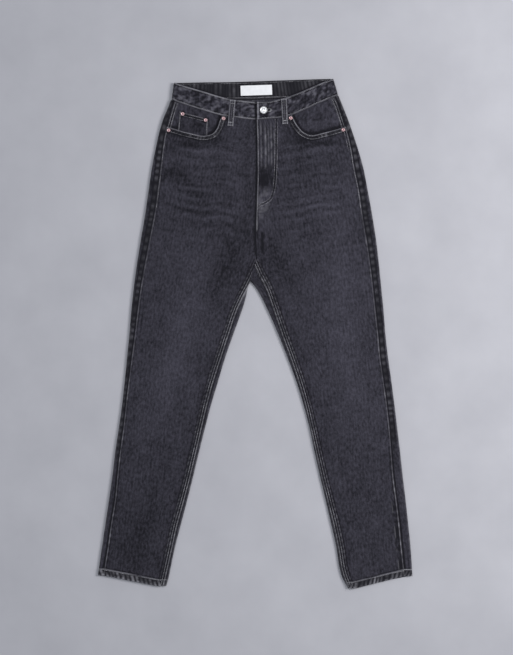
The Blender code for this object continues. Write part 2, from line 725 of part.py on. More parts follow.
def waistband():
    """One strip: underlap, wearer's right front, right fold, back, left fold, left front to the button end."""
    right_fold = band_fold_stations("right")
    left_fold = band_fold_stations("left")[::-1]
    xs_under = [UNDERLAP_END_X, 22.0, BAND_END_X, *BAND_X_RIGHT[::-1], *BAND_X_RIGHT_FAR[::-1]]
    stations = [band_front_station(x, "right") for x in xs_under]
    stations += right_fold
    shares = np.linspace(0, 1, BAND_BACK_STEPS + 1)[1:-1]
    stations += [band_back_station(share, right_fold[-1], left_fold[0]) for share in shares]
    stations += left_fold
    stations += [band_front_station(x, "left") for x in [*BAND_X_LEFT_FAR[::-1], *BAND_X_LEFT[::-1], BAND_END_X]]
    grid = np.array(stations)
    shell("waistband", [(grid[:, :, 0], grid[:, :, 1])], "denim")


def back_pocket(leg):
    size = BACK_POCKET
    across = np.linspace(-1, 1, 5)[None, :]
    down = np.linspace(0, 1, 4)[:, None]
    half = size["top_width"] / 2 + down * (size["foot_width"] - size["top_width"]) / 2
    x = BACK_POCKET_X[leg] + across * half
    y = BACK_POCKET_TOP - down * (size["height"] + size["point"] * (1 - np.abs(across)))
    top = np.stack([x, y, np.full_like(x, size["wall"])], axis=2)
    shell(f"back_pocket_{leg}", [slab(top, size["wall"])], "denim")


def strip(name, top, foot, heights, wall, width, rows, finish="denim"):
    """Flat strip of even width between two points, with a height at each end."""
    top, foot = np.array(top), np.array(foot)
    run = foot - top
    side = np.array([-run[1], run[0]]) / np.hypot(*run) * width / 2
    down = np.linspace(0, 1, rows)[:, None]
    across = np.linspace(-1, 1, 3)[None, :]
    plan = top + down[..., None] * run + across[..., None] * side
    z = heights[0] + down * (heights[1] - heights[0]) + 0 * across + wall
    shell(name, [slab(np.concatenate([plan, z[..., None]], axis=2), wall)], finish)


def belt_loops():
    for name, ends in LOOP_FRONT.items():
        strip(name, ends["top"], ends["foot"], LOOP_FRONT_Z, LOOP_WALL, LOOP_WIDTH, 4)
    for name, x in LOOP_BACK_X.items():
        strip(name, (x, LOOP_BACK_Y[0]), (x, LOOP_BACK_Y[1]), (0.0, 0.0), LOOP_WALL, LOOP_WIDTH, 3)


def label():
    width, height, wall = LABEL["size"]
    turn = np.radians(LABEL["turn"])
    centre = np.array(LABEL["centre"])
    half = np.array([np.cos(turn), np.sin(turn)]) * width / 2
    floor = LOOP_LIFT + BAND_WALL + GAP
    strip("label", centre - half, centre + half, (floor, floor), wall, height, 3, "label_cloth")


def fly_zip():
    width, length, wall = ZIP_SIZE
    x, y = ZIP_CENTRE
    rows = np.array([y + length / 2, LIFT_FROM_Y, y, y - length / 2])
    xs = np.array([x - width / 2, x + width / 2])
    plan_y, plan_x = np.meshgrid(rows, xs, indexing="ij")
    top = np.stack([plan_x, plan_y, lift(plan_y) + ZIP_FLOOR + wall], axis=2)
    shell("fly_zip", [slab(top, wall)], "zip_tape")


def turned(name, profile, centre, floor, finish):
    """Round piece: a profile of radius and height, from the rim's foot to the middle of the top, spun once round."""
    profile = np.array(profile)
    angles = np.arange(TURNED_STEPS) * 2 * np.pi / TURNED_STEPS
    rings = np.stack([
        centre[0] + profile[:, :1] * np.cos(angles),
        centre[1] + profile[:, :1] * np.sin(angles),
        floor + profile[:, 1:] + 0 * angles,
    ], axis=2)
    points = [*rings.reshape(-1, 3), [*centre, floor + profile[-1, 1]]]
    index = np.arange(len(profile) * TURNED_STEPS).reshape(len(profile), TURNED_STEPS)
    following = np.roll(index, -1, axis=1)
    faces = np.stack([index[:-1], following[:-1], following[1:], index[1:]], axis=-1).reshape(-1, 4).tolist()
    faces += [[int(a), int(b), len(points) - 1] for a, b in zip(index[-1], following[-1])]
    faces.append(index[0][::-1].tolist())
    make_mesh(name, points, faces, finish)


def metal():
    radius = BUTTON_DIAMETER / 2
    button_profile = [
        (radius - 1.2, 0.0), (radius, 0.7), (radius, 1.7), (radius - 0.8, 2.5),
        (radius - 2.0, 2.3), (radius - 2.8, 2.0), (3.0, 2.2),
    ]
    floor = BAND_OVER_Z + BAND_WALL + GAP
    turned("button", button_profile, BUTTON_CENTRE, floor, "silver_metal")
    radius = RIVET_DIAMETER / 2
    rivet_profile = [(radius, 0.0), (radius - 0.3, 0.7), (radius - 1.2, 1.1), (1.7, 0.8), (1.1, 1.4)]
    for name, (x, y) in RIVETS.items():
        reach = np.array([(x + dx, y + dy) for dx in (-radius, 0, radius) for dy in (-radius, 0, radius)])
        if name in ("rivet_1", "rivet_2"):
            heights = facing_height("right", reach[:, 0], reach[:, 1]) + GAP + FACING_WALL
        else:
            heights = front_height("right" if x < 0 else "left", reach[:, 0], reach[:, 1])
        turned(name, rivet_profile, (x, y), float(heights.max()) + GAP, "copper_metal")


def clear_scene():
    for item in list(bpy.data.objects):
        bpy.data.objects.remove(item)


clear_scene()
for leg_name in LEGS:
    front_panel(leg_name)
    back_panel(leg_name)
    yoke(leg_name)
    pocket_facing(leg_name)
    back_pocket(leg_name)
waistband()
coin_pocket()
belt_loops()
label()
fly_zip()
metal()
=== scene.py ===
# %% [markdown]
# # A pair of washed black mom jeans, laid flat
# The jeans lie on their back, front up, and are looked at from straight above.
# Each cell makes one piece the way a maker would sew it on, as a surface worked out with numpy.
# All sizes are millimetres until a mesh is made. The waist points along +Y, and +X is the wearer's left.

# %% Frame
from functools import partial
import bpy
import numpy as np
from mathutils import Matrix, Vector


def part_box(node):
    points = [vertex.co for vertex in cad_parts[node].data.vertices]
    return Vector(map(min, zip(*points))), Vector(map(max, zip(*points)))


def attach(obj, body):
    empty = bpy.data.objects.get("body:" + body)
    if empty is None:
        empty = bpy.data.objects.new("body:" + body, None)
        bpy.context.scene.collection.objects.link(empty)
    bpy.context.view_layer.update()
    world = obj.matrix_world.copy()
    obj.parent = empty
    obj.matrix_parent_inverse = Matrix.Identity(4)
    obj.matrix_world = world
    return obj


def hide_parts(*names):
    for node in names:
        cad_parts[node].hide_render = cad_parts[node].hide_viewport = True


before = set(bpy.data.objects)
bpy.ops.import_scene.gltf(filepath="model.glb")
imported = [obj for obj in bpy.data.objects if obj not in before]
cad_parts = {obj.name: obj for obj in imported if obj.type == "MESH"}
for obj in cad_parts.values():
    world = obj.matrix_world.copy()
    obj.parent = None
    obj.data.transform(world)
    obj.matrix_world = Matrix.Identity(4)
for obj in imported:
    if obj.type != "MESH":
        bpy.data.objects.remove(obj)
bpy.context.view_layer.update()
MM = 0.001
MIDDLE = np.array([3.57, -1.5, 0.0])
OUT = {"right": -1.0, "left": 1.0}
LEGS = tuple(OUT)
print("solids to dress:", len(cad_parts))

# %% [markdown]
# ## Tables read as smooth curves
# The outline and the seams are short tables, which can be checked against a tape measure. Between
# two rows a table is read as a cubic piece, with the mean slope of the neighbours at each row.
# Straight lines between rows would show as kinks along the folded edges.

# %% Smooth curves
def ramp(value, start, end):
    """0 before start, 1 past end, straight between."""
    return np.clip((value - start) / (end - start), 0, 1)


def ease(value, start, end):
    """Like ramp, with soft ends: s squared times three minus two s."""
    s = ramp(value, start, end)
    return s * s * (3 - 2 * s)


def through(knots, values, at):
    """Cubic Hermite curve through the rows: at each row the slope is that of its two neighbours."""
    order = np.argsort(knots)
    knots, values = knots[order], values[order]
    slopes = np.gradient(values, knots)
    at = np.clip(np.asarray(at, float), knots[0], knots[-1])
    i = np.clip(np.searchsorted(knots, at) - 1, 0, len(knots) - 2)
    width = knots[i + 1] - knots[i]
    s = (at - knots[i]) / width
    start = (1 + 2 * s) * (1 - s) ** 2 * values[i] + s * (1 - s) ** 2 * width * slopes[i]
    end = s * s * (3 - 2 * s) * values[i + 1] + s * s * (s - 1) * width * slopes[i + 1]
    return start + end


def curves(names, rows):
    """Each named column of a table as a smooth curve of the first column."""
    rows = np.array(rows, float)
    return {name: partial(through, rows[:, 0], rows[:, i + 1]) for i, name in enumerate(names.split()[1:])}


# %% Lines in plan
def pairs(x, y):
    """Points in plan from their x and their y."""
    return np.stack(np.broadcast_arrays(x, y), axis=-1)


def unit(vectors):
    return vectors / np.maximum(np.linalg.norm(vectors, axis=-1, keepdims=True), 1e-9)


def path_length(points):
    """Length along a line up to each of its points."""
    return np.concatenate([[0], np.cumsum(np.linalg.norm(np.diff(points, axis=0), axis=1))])


def evenly(points, spacing=None, count=None):
    """Points at even spacing along a smooth curve through the given ones."""
    points = np.asarray(points, float)
    length = path_length(points)
    count = count or max(2, int(round(length[-1] / spacing)) + 1)
    at = np.linspace(0, length[-1], count)
    return pairs(*(through(length, column, at) for column in points.T))


def graded(points, spacing):
    """Points along a dense line, as far apart as the spacing that is given at each dense point."""
    length = path_length(points)
    count = np.concatenate([[0], np.cumsum(np.diff(length) * 2 / (spacing[1:] + spacing[:-1]))])
    at = np.interp(np.linspace(0, count[-1], int(count[-1]) + 2), count, length)
    return pairs(*(np.interp(at, length, column) for column in points.T))


def beside(points, offset):
    """The same line moved sideways: a positive offset is to the left of its direction."""
    ahead = unit(np.gradient(points, axis=0))
    return points + offset * pairs(-ahead[:, 1], ahead[:, 0])


def line_down(curve, top, foot, spacing=4.0):
    """A line down the garment, from a curve of x by height."""
    ys = np.linspace(top, foot, max(2, int(abs(top - foot) / spacing)))
    return pairs(curve(ys), ys)


# %% Cloth and layers
WALL, STACK, FOLD_REACH = 1.5, 6.0, 4.5
GAP = 0.3
HALF_GAP = GAP / 2
LOOP_LIFT, LIFT_FROM_Y, LIFT_TO_Y = 1.7, 385.0, 478.0
CROTCH_Y = 160.0
NOTCH = np.array([-6.7, 108.5])
HEM_OUTER = {"right": -509.0, "left": -510.5}
HEM_INNER = {"right": -532.0, "left": -537.0}
HEM_TILT_FROM = 265.0


def lift(y):
    """Height of the whole stack above the floor, held up by the loops under the waistband."""
    return LOOP_LIFT * ramp(y, LIFT_FROM_Y, LIFT_TO_Y)


# %% Side edges and side seams, by height along the leg
SIDE = curves("y right_fold right_seam left_fold left_seam", [
    (500, -170.5, -161.0, 177.8, 168.5), (480, -177.0, -168.0, 186.0, 177.5),
    (450, -189.5, -177.0, 198.0, 188.0), (420, -198.5, -185.0, 208.5, 197.5),
    (390, -205.0, -190.0, 218.5, 204.5), (350, -213.0, -195.0, 230.0, 211.5),
    (300, -220.5, -201.0, 240.0, 221.5), (250, -227.5, -208.0, 249.0, 228.5),
    (200, -236.0, -217.5, 257.0, 237.0), (150, -244.0, -227.0, 263.0, 244.5),
    (100, -251.0, -236.0, 268.0, 250.5), (50, -256.5, -243.0, 273.0, 256.0),
    (0, -260.5, -249.0, 277.0, 261.5), (-50, -265.5, -255.5, 282.5, 266.0),
    (-100, -270.5, -262.0, 289.5, 273.0), (-150, -276.0, -268.0, 296.0, 280.0),
    (-200, -283.0, -273.5, 302.0, 285.5), (-250, -290.5, -280.5, 308.0, 289.5),
    (-300, -296.5, -286.0, 313.5, 293.5), (-350, -303.5, -291.0, 319.5, 300.0),
    (-400, -311.0, -299.0, 325.0, 306.0), (-450, -318.5, -306.0, 330.0, 311.0),
    (-510, -327.0, -316.0, 334.0, 317.5),
])


def seam_x(leg, y, gap=0.0):
    """The side seam at a height, moved outward by a gap."""
    return SIDE[leg + "_seam"](y) + OUT[leg] * gap


# %% Inner folds, inseams and the centre front
INNER = curves("y right left", [
    (108.5, -6.7, -6.7), (100, -10.5, 1.0), (75, -16.0, 17.0), (50, -23.5, 29.0), (25, -32.5, 40.5),
    (0, -41.5, 51.0), (-50, -59.0, 71.0), (-100, -74.0, 89.5), (-150, -89.0, 105.0), (-200, -102.0, 118.0),
    (-250, -114.5, 128.5), (-300, -126.5, 139.5), (-350, -139.0, 151.5), (-400, -152.0, 163.0),
    (-450, -165.0, 174.0), (-500, -175.5, 182.5), (-512, -178.0, 186.0), (-540, -186.0, 201.0),
])
INSEAM = curves("y right left", [
    (160, 7.0, 7.0), (152, 2.4, 10.7), (140, -3.0, 16.0), (125, -9.5, 23.0), (100, -22.0, 36.0),
    (75, -35.0, 45.5), (50, -46.0, 54.0), (0, -63.0, 71.0), (-50, -79.5, 89.0), (-100, -95.5, 106.0),
    (-150, -109.0, 120.0), (-200, -120.5, 131.5), (-250, -132.0, 142.5), (-300, -144.0, 154.0),
    (-350, -157.0, 166.5), (-400, -171.0, 179.0), (-450, -182.0, 189.5), (-500, -193.0, 198.0),
    (-540, -202.5, 213.0),
])
centre_front = curves("y x", [(450, 6.5), (385, 8.4), (280, 6.9), (216, 5.4), (160, 7.0)])["x"]


def inseam_x(leg, y, gap=0.0):
    """The inseam at a height, moved outward by a gap."""
    return INSEAM[leg](y) + OUT[leg] * gap


# %% Waistband, pocket mouths and yoke seam
BAND_TOP = curves("x front back", [
    (-163.0, 524.3, 525.3), (-107.0, 507.8, 526.5), (-54.0, 492.5, 527.0), (-18.0, 487.2, 528.0),
    (7.4, 485.2, 528.8), (33.0, 486.2, 529.8), (58.0, 491.8, 530.7), (84.0, 500.2, 531.5),
    (109.0, 510.3, 532.3), (135.0, 521.9, 533.2), (163.5, 532.8, 533.6),
])
band_foot = curves("x front", [
    (-167.0, 488.0), (-150.0, 481.6), (-133.0, 476.2), (-94.0, 463.8), (-66.0, 456.4), (-33.0, 451.5),
    (7.4, 448.3), (45.0, 450.5), (81.0, 457.6), (109.0, 469.6), (142.0, 484.6), (173.7, 497.3),
])["front"]
BAND_CORNERS = {"right": ((-167.3, 525.5), (-172.0, 489.6)), "left": ((167.8, 534.0), (178.0, 498.8))}
BAND_BACK_FOOT = (489.0, 490.0, 497.2)
MOUTH = {
    "right": np.array([(-66.0, 456.0), (-71.0, 445.0), (-76.0, 431.0), (-85.0, 419.5), (-102.0, 414.5),
                       (-130.0, 419.0), (-181.0, 433.0)]),
    "left": np.array([(81.0, 457.0), (86.5, 445.0), (94.0, 433.0), (104.5, 422.0), (118.0, 416.0),
                      (148.5, 421.0), (193.2, 433.0)]),
}
POCKET_SIDE_Y = 433.0
YOKE_SEAM_SIDE, YOKE_SEAM_CENTRE = 462.0, 420.0
RIVETS = {"rivet_1": (-148.7, 460.0), "rivet_2": (-100.5, 447.0), "rivet_3": (-62.6, 450.3),
          "rivet_4": (-178.0, 425.5), "rivet_5": (78.4, 451.2), "rivet_6": (188.5, 426.5)}

# %% [markdown]
# ## Distances from a seam
# A seam makes the cloth beside it rise, pucker and wear, so each point of the cloth asks how far it
# is from the seam and how far along it lies. The nearest point is found on every straight piece of
# the seam at once, and the closest is kept.

# %% Distance and place along a line
def distance_to(path, x, y):
    """Signed distance to a line and place along it. Left of the line's direction is positive."""
    start, step = path[:-1], np.diff(path, axis=0)
    size = np.maximum((step ** 2).sum(1), 1e-9)
    length = path_length(path)
    x, y = np.broadcast_arrays(x, y)
    best, sign, place = np.full(x.shape, 1e18), np.ones(x.shape), np.zeros(x.shape)
    for i in range(len(start)):
        dx, dy = x - start[i, 0], y - start[i, 1]
        share = np.clip((dx * step[i, 0] + dy * step[i, 1]) / size[i], 0, 1)
        apart = (dx - share * step[i, 0]) ** 2 + (dy - share * step[i, 1]) ** 2
        closer = apart < best
        best = np.where(closer, apart, best)
        sign = np.where(closer, np.sign(step[i, 0] * dy - step[i, 1] * dx), sign)
        place = np.where(closer, length[i] + share * np.sqrt(size[i]), place)
    return np.sqrt(best) * sign, place


# %% Irregularity from seeded draws
def wander(at, pitch, seed):
    """Smooth random line between -1 and 1: draws at even pitch, joined by soft steps."""
    draws = np.random.default_rng(seed).uniform(-1, 1, 512)
    place = np.asarray(at, float) / pitch
    cell = np.floor(place).astype(int)
    s = ease(place - cell, 0, 1)
    return draws[cell % 512] * (1 - s) + draws[(cell + 1) % 512] * s


def pucker(at, pitch, seed):
    """Uneven wave along a seam, from 0 to 1: its pitch drifts and some crests are lower."""
    phase = at / pitch + 0.45 * wander(at, pitch * 2.3, seed)
    crest = 0.5 + 0.5 * np.cos(2 * np.pi * phase)
    return crest * (0.62 + 0.38 * wander(at, pitch * 1.7, seed + 1))


def mottle(x, y, size, seed):
    """Smooth random surface between -1 and 1 on a square lattice of the given size."""
    draws = np.random.default_rng(seed).uniform(-1, 1, (128, 128))
    i, j = np.floor(x / size).astype(int), np.floor(y / size).astype(int)
    s, t = ease(x / size - i, 0, 1), ease(y / size - j, 0, 1)
    i0, i1, j0, j1 = i % 128, (i + 1) % 128, j % 128, (j + 1) % 128
    low = draws[i0, j0] * (1 - s) + draws[i1, j0] * s
    high = draws[i0, j1] * (1 - s) + draws[i1, j1] * s
    return low * (1 - t) + high * t


# %% Shapes of a rise, a groove or a rubbed line
def bell(value, centre, width):
    """Rounded bump: e to minus the squared distance over the width."""
    return np.exp(-((value - centre) / width) ** 2)


def window(value, low, high, soft=1.2):
    """1 between low and high, 0 outside, with soft steps at both."""
    return ease(value, low - soft, low + soft) * (1 - ease(value, high - soft, high + soft))


def bumps(table, x, y):
    """Sum of soft bumps, each stretched along its own direction and bent sideways by a parabola.
    A row is x, y, turn in degrees, half length, half width, bend and amount."""
    total = 0 * (x + y)
    for at_x, at_y, turn, half_length, half_width, bend, amount in table:
        cosine, sine = np.cos(np.radians(turn)), np.sin(np.radians(turn))
        along = (cosine * (x - at_x) + sine * (y - at_y)) / half_length
        across = (cosine * (y - at_y) - sine * (x - at_x) - bend * along ** 2) / half_width
        total = total + amount * np.exp(-along ** 2 - across ** 2)
    return total


# %% [markdown]
# ## Creases and fades, listed one by one
# Pressed jeans are nearly flat, with shallow waves across the hips, thighs, knees and calves. Each
# is a long soft bump of its own length, width and depth. The fades are the paler places that the
# wash leaves on the thighs, the knees and the hip lines. A random field would look even all over.

# %% Creases of the front
CREASES = [
    (-95, 330, 8, 95, 26, 4, 0.5), (-60, 255, -12, 80, 24, 3, -0.4), (120, 340, -10, 95, 26, -4, 0.5),
    (85, 250, 14, 85, 24, -3, -0.4), (-130, 90, 78, 130, 34, 0, 0.6), (150, 80, 104, 140, 36, 0, 0.6),
    (-175, -80, 20, 90, 34, 0, -0.5), (195, -95, -16, 95, 34, 0, -0.5), (-205, -250, 76, 120, 30, 0, 0.5),
    (235, -270, 103, 125, 30, 0, 0.5), (-235, -430, 12, 70, 28, 0, -0.4), (255, -440, -14, 70, 28, 0, -0.4),
    (-195, 240, 70, 60, 9, 3, 0.35), (-205, 150, 74, 70, 8, 3, -0.3), (225, 232, 106, 70, 9, -3, 0.35),
    (238, 130, 100, 75, 8, -3, -0.3), (-170, -20, 28, 55, 9, 4, 0.25), (-150, -60, 12, 60, 8, -4, -0.25),
    (-200, -130, -14, 50, 9, 3, 0.28), (180, -35, -24, 58, 9, -4, 0.25), (165, -75, -10, 62, 8, 4, -0.25),
    (220, -150, 16, 55, 9, -3, 0.28), (-220, -330, 74, 90, 10, 3, -0.25), (-255, -400, 70, 60, 8, -3, 0.25),
    (260, -340, 104, 95, 10, -3, -0.25), (290, -420, 108, 60, 8, 3, 0.25), (-215, -480, 15, 45, 8, 2, 0.3),
    (255, -485, -14, 48, 8, -2, 0.3), (-245, -498, 4, 30, 7, 0, -0.25), (280, -497, -6, 32, 7, 0, -0.25),
    (262, -165, 70, 40, 8, 2, 0.22), (-20, 190, 60, 40, 7, 0, -0.3), (34, 188, 118, 40, 7, 0, -0.3),
]

# %% Fades of the front, positive where the wash left the cloth paler
FADES = [
    (-100, 350, 84, 70, 50, 0, 0.1), (-150, 190, 78, 110, 42, 0, 0.12), (-150, 10, 76, 150, 34, 0, 0.4),
    (-180, -110, 74, 90, 34, 0, 0.2), (-225, -380, 76, 110, 40, 0, -0.18), (-245, -450, 80, 80, 40, 0, -0.25),
    (-112, 262, 84, 80, 60, 0, -0.2), (150, 350, 96, 70, 40, 0, 0.1), (190, 160, 104, 130, 36, 0, 0.26),
    (190, -40, 104, 170, 36, 0, 0.34), (240, -380, 103, 150, 40, 0, -0.16), (-45, 330, 90, 60, 16, 0, 0.12),
    (-52, 150, 66, 70, 24, 0, -0.5), (52, 150, 112, 70, 20, 0, -0.34), (-12, 330, 90, 130, 11, 0, -0.3),
    (-125, 398, 6, 62, 8, 0, -0.4), (140, 400, -6, 62, 9, 0, -0.4), (100, 380, 70, 30, 12, 0, -0.3),
    (22, 327, 90, 20, 13, 0, -0.75), (16, 278, 70, 14, 9, 0, 0.5), (34, 290, 60, 12, 6, 0, 0.35),
    (20, 215, 90, 34, 9, 0, 0.25), (18, 185, 90, 26, 3, 0, -0.5), (-165, 335, 90, 14, 26, 0, -0.35),
    (-186, 330, 40, 22, 6, 0, -0.5), (-150, 262, -16, 34, 5, 0, -0.4), (205, 300, 98, 40, 16, 0, 0.12),
]

# %% Whiskers of the hips
WHISKER_PITCH, WHISKER_SLOPE = 20.0, 0.17


def whiskers(leg, x, y):
    """Pale lines that sitting rubs across the hip: uneven waves of height that climb to the side.
    They fade at both ends."""
    side = OUT[leg] * (x - 7.0)
    climb = y - WHISKER_SLOPE * side + 4.0 * wander(x, 34.0, 221) + 2.0 * wander(x, 13.0, 222)
    lines = pucker(climb, WHISKER_PITCH, 223) - 0.38 + 0.35 * (pucker(climb + 0.1 * side, 9.5, 224) - 0.3)
    here = window(side, 40.0, 172.0, 22.0) * window(y, 205.0, 398.0, 26.0)
    return lines * here * (0.75 + 0.25 * mottle(x, y, 30.0, 225))


# %% [markdown]
# ## Seams as lines
# Every seam that shows is one line in plan, worked out from the tables. The same lines later carry
# the stitches, so cloth and thread always agree.

# %% Seam lines
side_seam = {leg: line_down(partial(seam_x, leg), 505, HEM_OUTER[leg]) for leg in LEGS}
inseam = {leg: line_down(INSEAM[leg], CROTCH_Y, HEM_INNER[leg]) for leg in LEGS}
centre_line = line_down(centre_front, 450, CROTCH_Y)
mouths = {leg: evenly(MOUTH[leg], 3.0) for leg in LEGS}
fly_line = evenly([(50.5, 449.0), (50.0, 400.0), (49.0, 345.0), (47.5, 318.0), (44.5, 298.0), (36.8, 279.0),
                   (22.0, 269.5), (7.4, 262.5)], 3.0)
yoke_line = {leg: np.array([(0.0, YOKE_SEAM_CENTRE), (OUT[leg] * 200.0, YOKE_SEAM_SIDE)]) for leg in LEGS}


def hem_points(leg):
    """The hem's lower edge on top, from the outer fold to the inner fold."""
    outer, inner = HEM_OUTER[leg], HEM_INNER[leg]
    return pairs([SIDE[leg + "_fold"](outer), seam_x(leg, outer), INSEAM[leg](inner), INNER[leg](inner)],
                 [outer, outer, inner, inner])


hem_line = {leg: hem_points(leg) for leg in LEGS}
for seam_name, seam_lines in (("pocket mouths", mouths), ("inseams", inseam)):
    print(seam_name, "in mm:", {leg: round(float(path_length(line)[-1])) for leg, line in seam_lines.items()})

# %% [markdown]
# ## How a seam dresses the cloth
# A flat felled or turned edge is a low ridge. Washing shrinks the thread, so the cloth between the
# rows draws up in small puckers, whose crests wear pale. Each seam adds a height, some wear and some
# darkening: the dips between puckers are partly dye that the wash left and partly painted shade, and
# the grooves beside the seams hold painted shade. Each is a sum of bells and windows, whose numbers
# are distances from the seam in millimetres, times waves along the seam.

# %% Side seam
SEED = {"right": 0, "left": 10}


def side_seam_dress(leg, x, y):
    """Side seam: a worn ridge in dashes, grooves on both sides of it darkened with painted shade, and
    drawn-up cloth beyond.
    """
    apart, along = distance_to(side_seam[leg], x, y)
    outward, seed = apart * OUT[leg], SEED[leg]
    waves = pucker(along, 16.0, 21 + seed)
    line = 0.4 + 0.6 * ease(wander(along, 23.0, 27 + seed), -0.6, 0.6)
    marks = ease(wander(along, 9.0, 28 + seed), 0.0, 0.7)
    dips, swell, knee = 1 - waves, waves - 0.5, ease(-y, 190.0, 300.0)
    low = (0.25 if leg == "right" else 1.0) * ease(-y, 330.0, 380.0)
    height = 0.4 * bell(outward, -1.6, 1.8) * (0.5 + 0.5 * waves) - 0.75 * bell(outward, 0.8, 0.9)
    height += 0.7 * swell * window(outward, 2.4, 12.0, 1.6) * (1 - 0.8 * knee)
    height += 0.35 * swell * window(outward, -9.0, -3.0, 1.0) * knee
    wear = (0.75 + 0.25 * knee) * bell(outward, -1.1, 0.95) * line * (0.3 + 0.7 * waves)
    wear += 0.16 * waves * window(outward, 3.0, 9.0) * (1 - knee)
    wear += 0.25 * bell(outward, -10.5, 1.0) * low * marks
    # The dark line just outside the seam is a painted shadow in its groove. The dark in the pucker dips
    # beside it is partly dye left there and partly painted shade.
    fade = -1.5 * bell(outward, 1.4, 1.1) - 0.9 * dips * window(outward, 2.2, 12.0) * (1 - knee)
    fade -= 0.3 * ease(outward, 2.0, 6.0) * (1 - knee)
    fade -= dips * window(outward, -4.6, -2.4, 0.8) * (0.4 + 0.6 * knee)
    fade -= 1.6 * dips * (0.4 + 0.6 * marks) * window(outward, -11.5, -2.4, 0.9) * low
    fade -= 1.6 * window(outward, 0.4, 3.6, 0.8) * (0.3 + 0.7 * low) * knee
    return height, wear, fade


# %% Inseam
FELL, FELL_MIDDLE = 10.6, 5.3


def inseam_dress(leg, x, y):
    """Felled inseam: a flat ridge with three worn lines, dips where the thread draws it in, darkened partly
    by dye left there and partly by painted shade, and painted shade in the grooves at its edges.
    """
    apart, along = distance_to(inseam[leg], x, y)
    inner = -apart * OUT[leg]
    waves, other = pucker(along, 8.2, 41 + SEED[leg]), pucker(along + 3.0, 11.0, 45)
    below = ease(-y, -CROTCH_Y, -CROTCH_Y + 12)
    height = 0.45 * window(inner, 0.3, FELL + 0.6, 0.7)
    height += 0.45 * (waves - 0.5) * window(inner, 1.2, FELL - 1.0)
    height -= 0.55 * bell(inner, -0.8, 0.8) + 0.5 * bell(inner, FELL + 1.6, 0.8)
    wear = 0.5 * bell(inner, 0.4, 1.0) * other + 0.42 * bell(inner, FELL_MIDDLE, 0.9) * (0.15 + 0.85 * waves)
    wear += 0.6 * bell(inner, FELL, 0.95) * (0.3 + 0.7 * other)
    if leg == "right":
        wear += 0.25 * bell(inner, FELL + 0.8, 2.6) * window(y, 60.0, 150.0, 20.0)
    # The dark lines beside the grooves at both edges of the fell are painted shade. The dark in the dips is
    # partly dye left there and partly painted shade.
    fade = -0.15 * ease(inner, -30.0, 0.0) - 0.8 * bell(inner, -1.9, 1.1) - 1.2 * bell(inner, FELL + 2.2, 1.0)
    fade -= 1.3 * (1 - waves) * (window(inner, 1.6, 4.2, 0.7) + window(inner, 6.4, 9.2, 0.7))
    return height * below, wear * below, fade * below


# %% Pocket mouth and hem
def mouth_dress(leg, x, y):
    """Turned edge of the hip pocket: a worn roll, then two rows of stitches with ticks between them, darkened
    partly by dye left in the dips and partly by painted shade.
    """
    apart, along = distance_to(mouths[leg], x, y)
    below = -apart * OUT[leg]
    waves, worn = pucker(along, 5.4, 61 + SEED[leg]), 0.6 + 0.4 * wander(along, 19.0, 62)
    height = 0.45 * (1 - ease(below, 8.0, 10.5)) - 0.5 * (1 - ease(below, 0.0, 1.3))
    height += 0.4 * (waves - 0.5) * window(below, 2.4, 7.4) - 0.2 * bell(below, 1.9, 0.7)
    wear = 0.62 * bell(below, 0.8, 0.85) * worn + 0.1 * bell(below, 8.6, 0.9) * waves
    wear += 0.4 * waves * waves * window(below, 2.8, 9.0, 0.9) * worn
    # The ticks are dark partly from dye left in the dips and partly from painted shade. The dark line below
    # the roll is painted shade.
    fade = -2.0 * (1 - waves) * window(below, 2.4, 8.0, 0.8) - 0.7 * bell(below, 10.4, 1.2)
    return height, wear, fade - 0.25 * window(below, 2.0, 26.0, 4.0)


HEM_RISE = 0.5


def hem_dress(leg, x, y):
    """Turned hem, twisted a little as it was sewn, so that slanting ropes run round it."""
    apart, along = distance_to(hem_line[leg], x, y)
    above = np.abs(apart)
    waves = pucker(along + 0.5 * above, 9.5, 81 + SEED[leg])
    blots = 0.5 + 0.5 * mottle(along, above, 5.0, 83 + SEED[leg])
    line = 0.55 + 0.45 * wander(along, 21.0, 84)
    height = 0.8 * (waves - 0.5) * window(above, 1.5, 12.5, 2.0) - 0.5 * bell(above, 15.2, 0.9)
    height += HEM_RISE * (1 - ease(above, 14.2, 15.4)) - 0.5 * (1 - ease(above, 0.0, 1.8))
    wear = bell(above, 1.4, 1.5) * waves + 0.8 * window(above, 2.5, 11.5) * waves * blots
    wear += 0.7 * bell(above, 13.4, 0.9) * line
    # The dips between the ropes are partly dye left there and partly painted shade. The dark lines inside the
    # hem and just above its top are painted shade.
    fade = -2.0 * (1 - waves) * window(above, 1.8, 12.0)
    fade -= bell(above, 11.2, 0.9) + 0.7 * bell(above, 16.4, 1.0)
    return height, wear, fade


# %% Fly
FLY_DROP, FLY_DROP_WIDTH, FLY_RISE, FLY_FOOT_Y = 1.2, 14.0, 0.6, 262.0
LINE_END_Y = 214.0
# Paler vertical ridges: distance from the edge, width, top, foot and amount
FLY_STREAKS = [(8.2, 1.5, 442, 352, 0.3), (17.2, 1.7, 442, 352, 0.5), (23.5, 1.3, 430, 360, 0.22),
               (29.5, 1.6, 436, 352, 0.34), (36.0, 1.3, 430, 366, 0.24)]


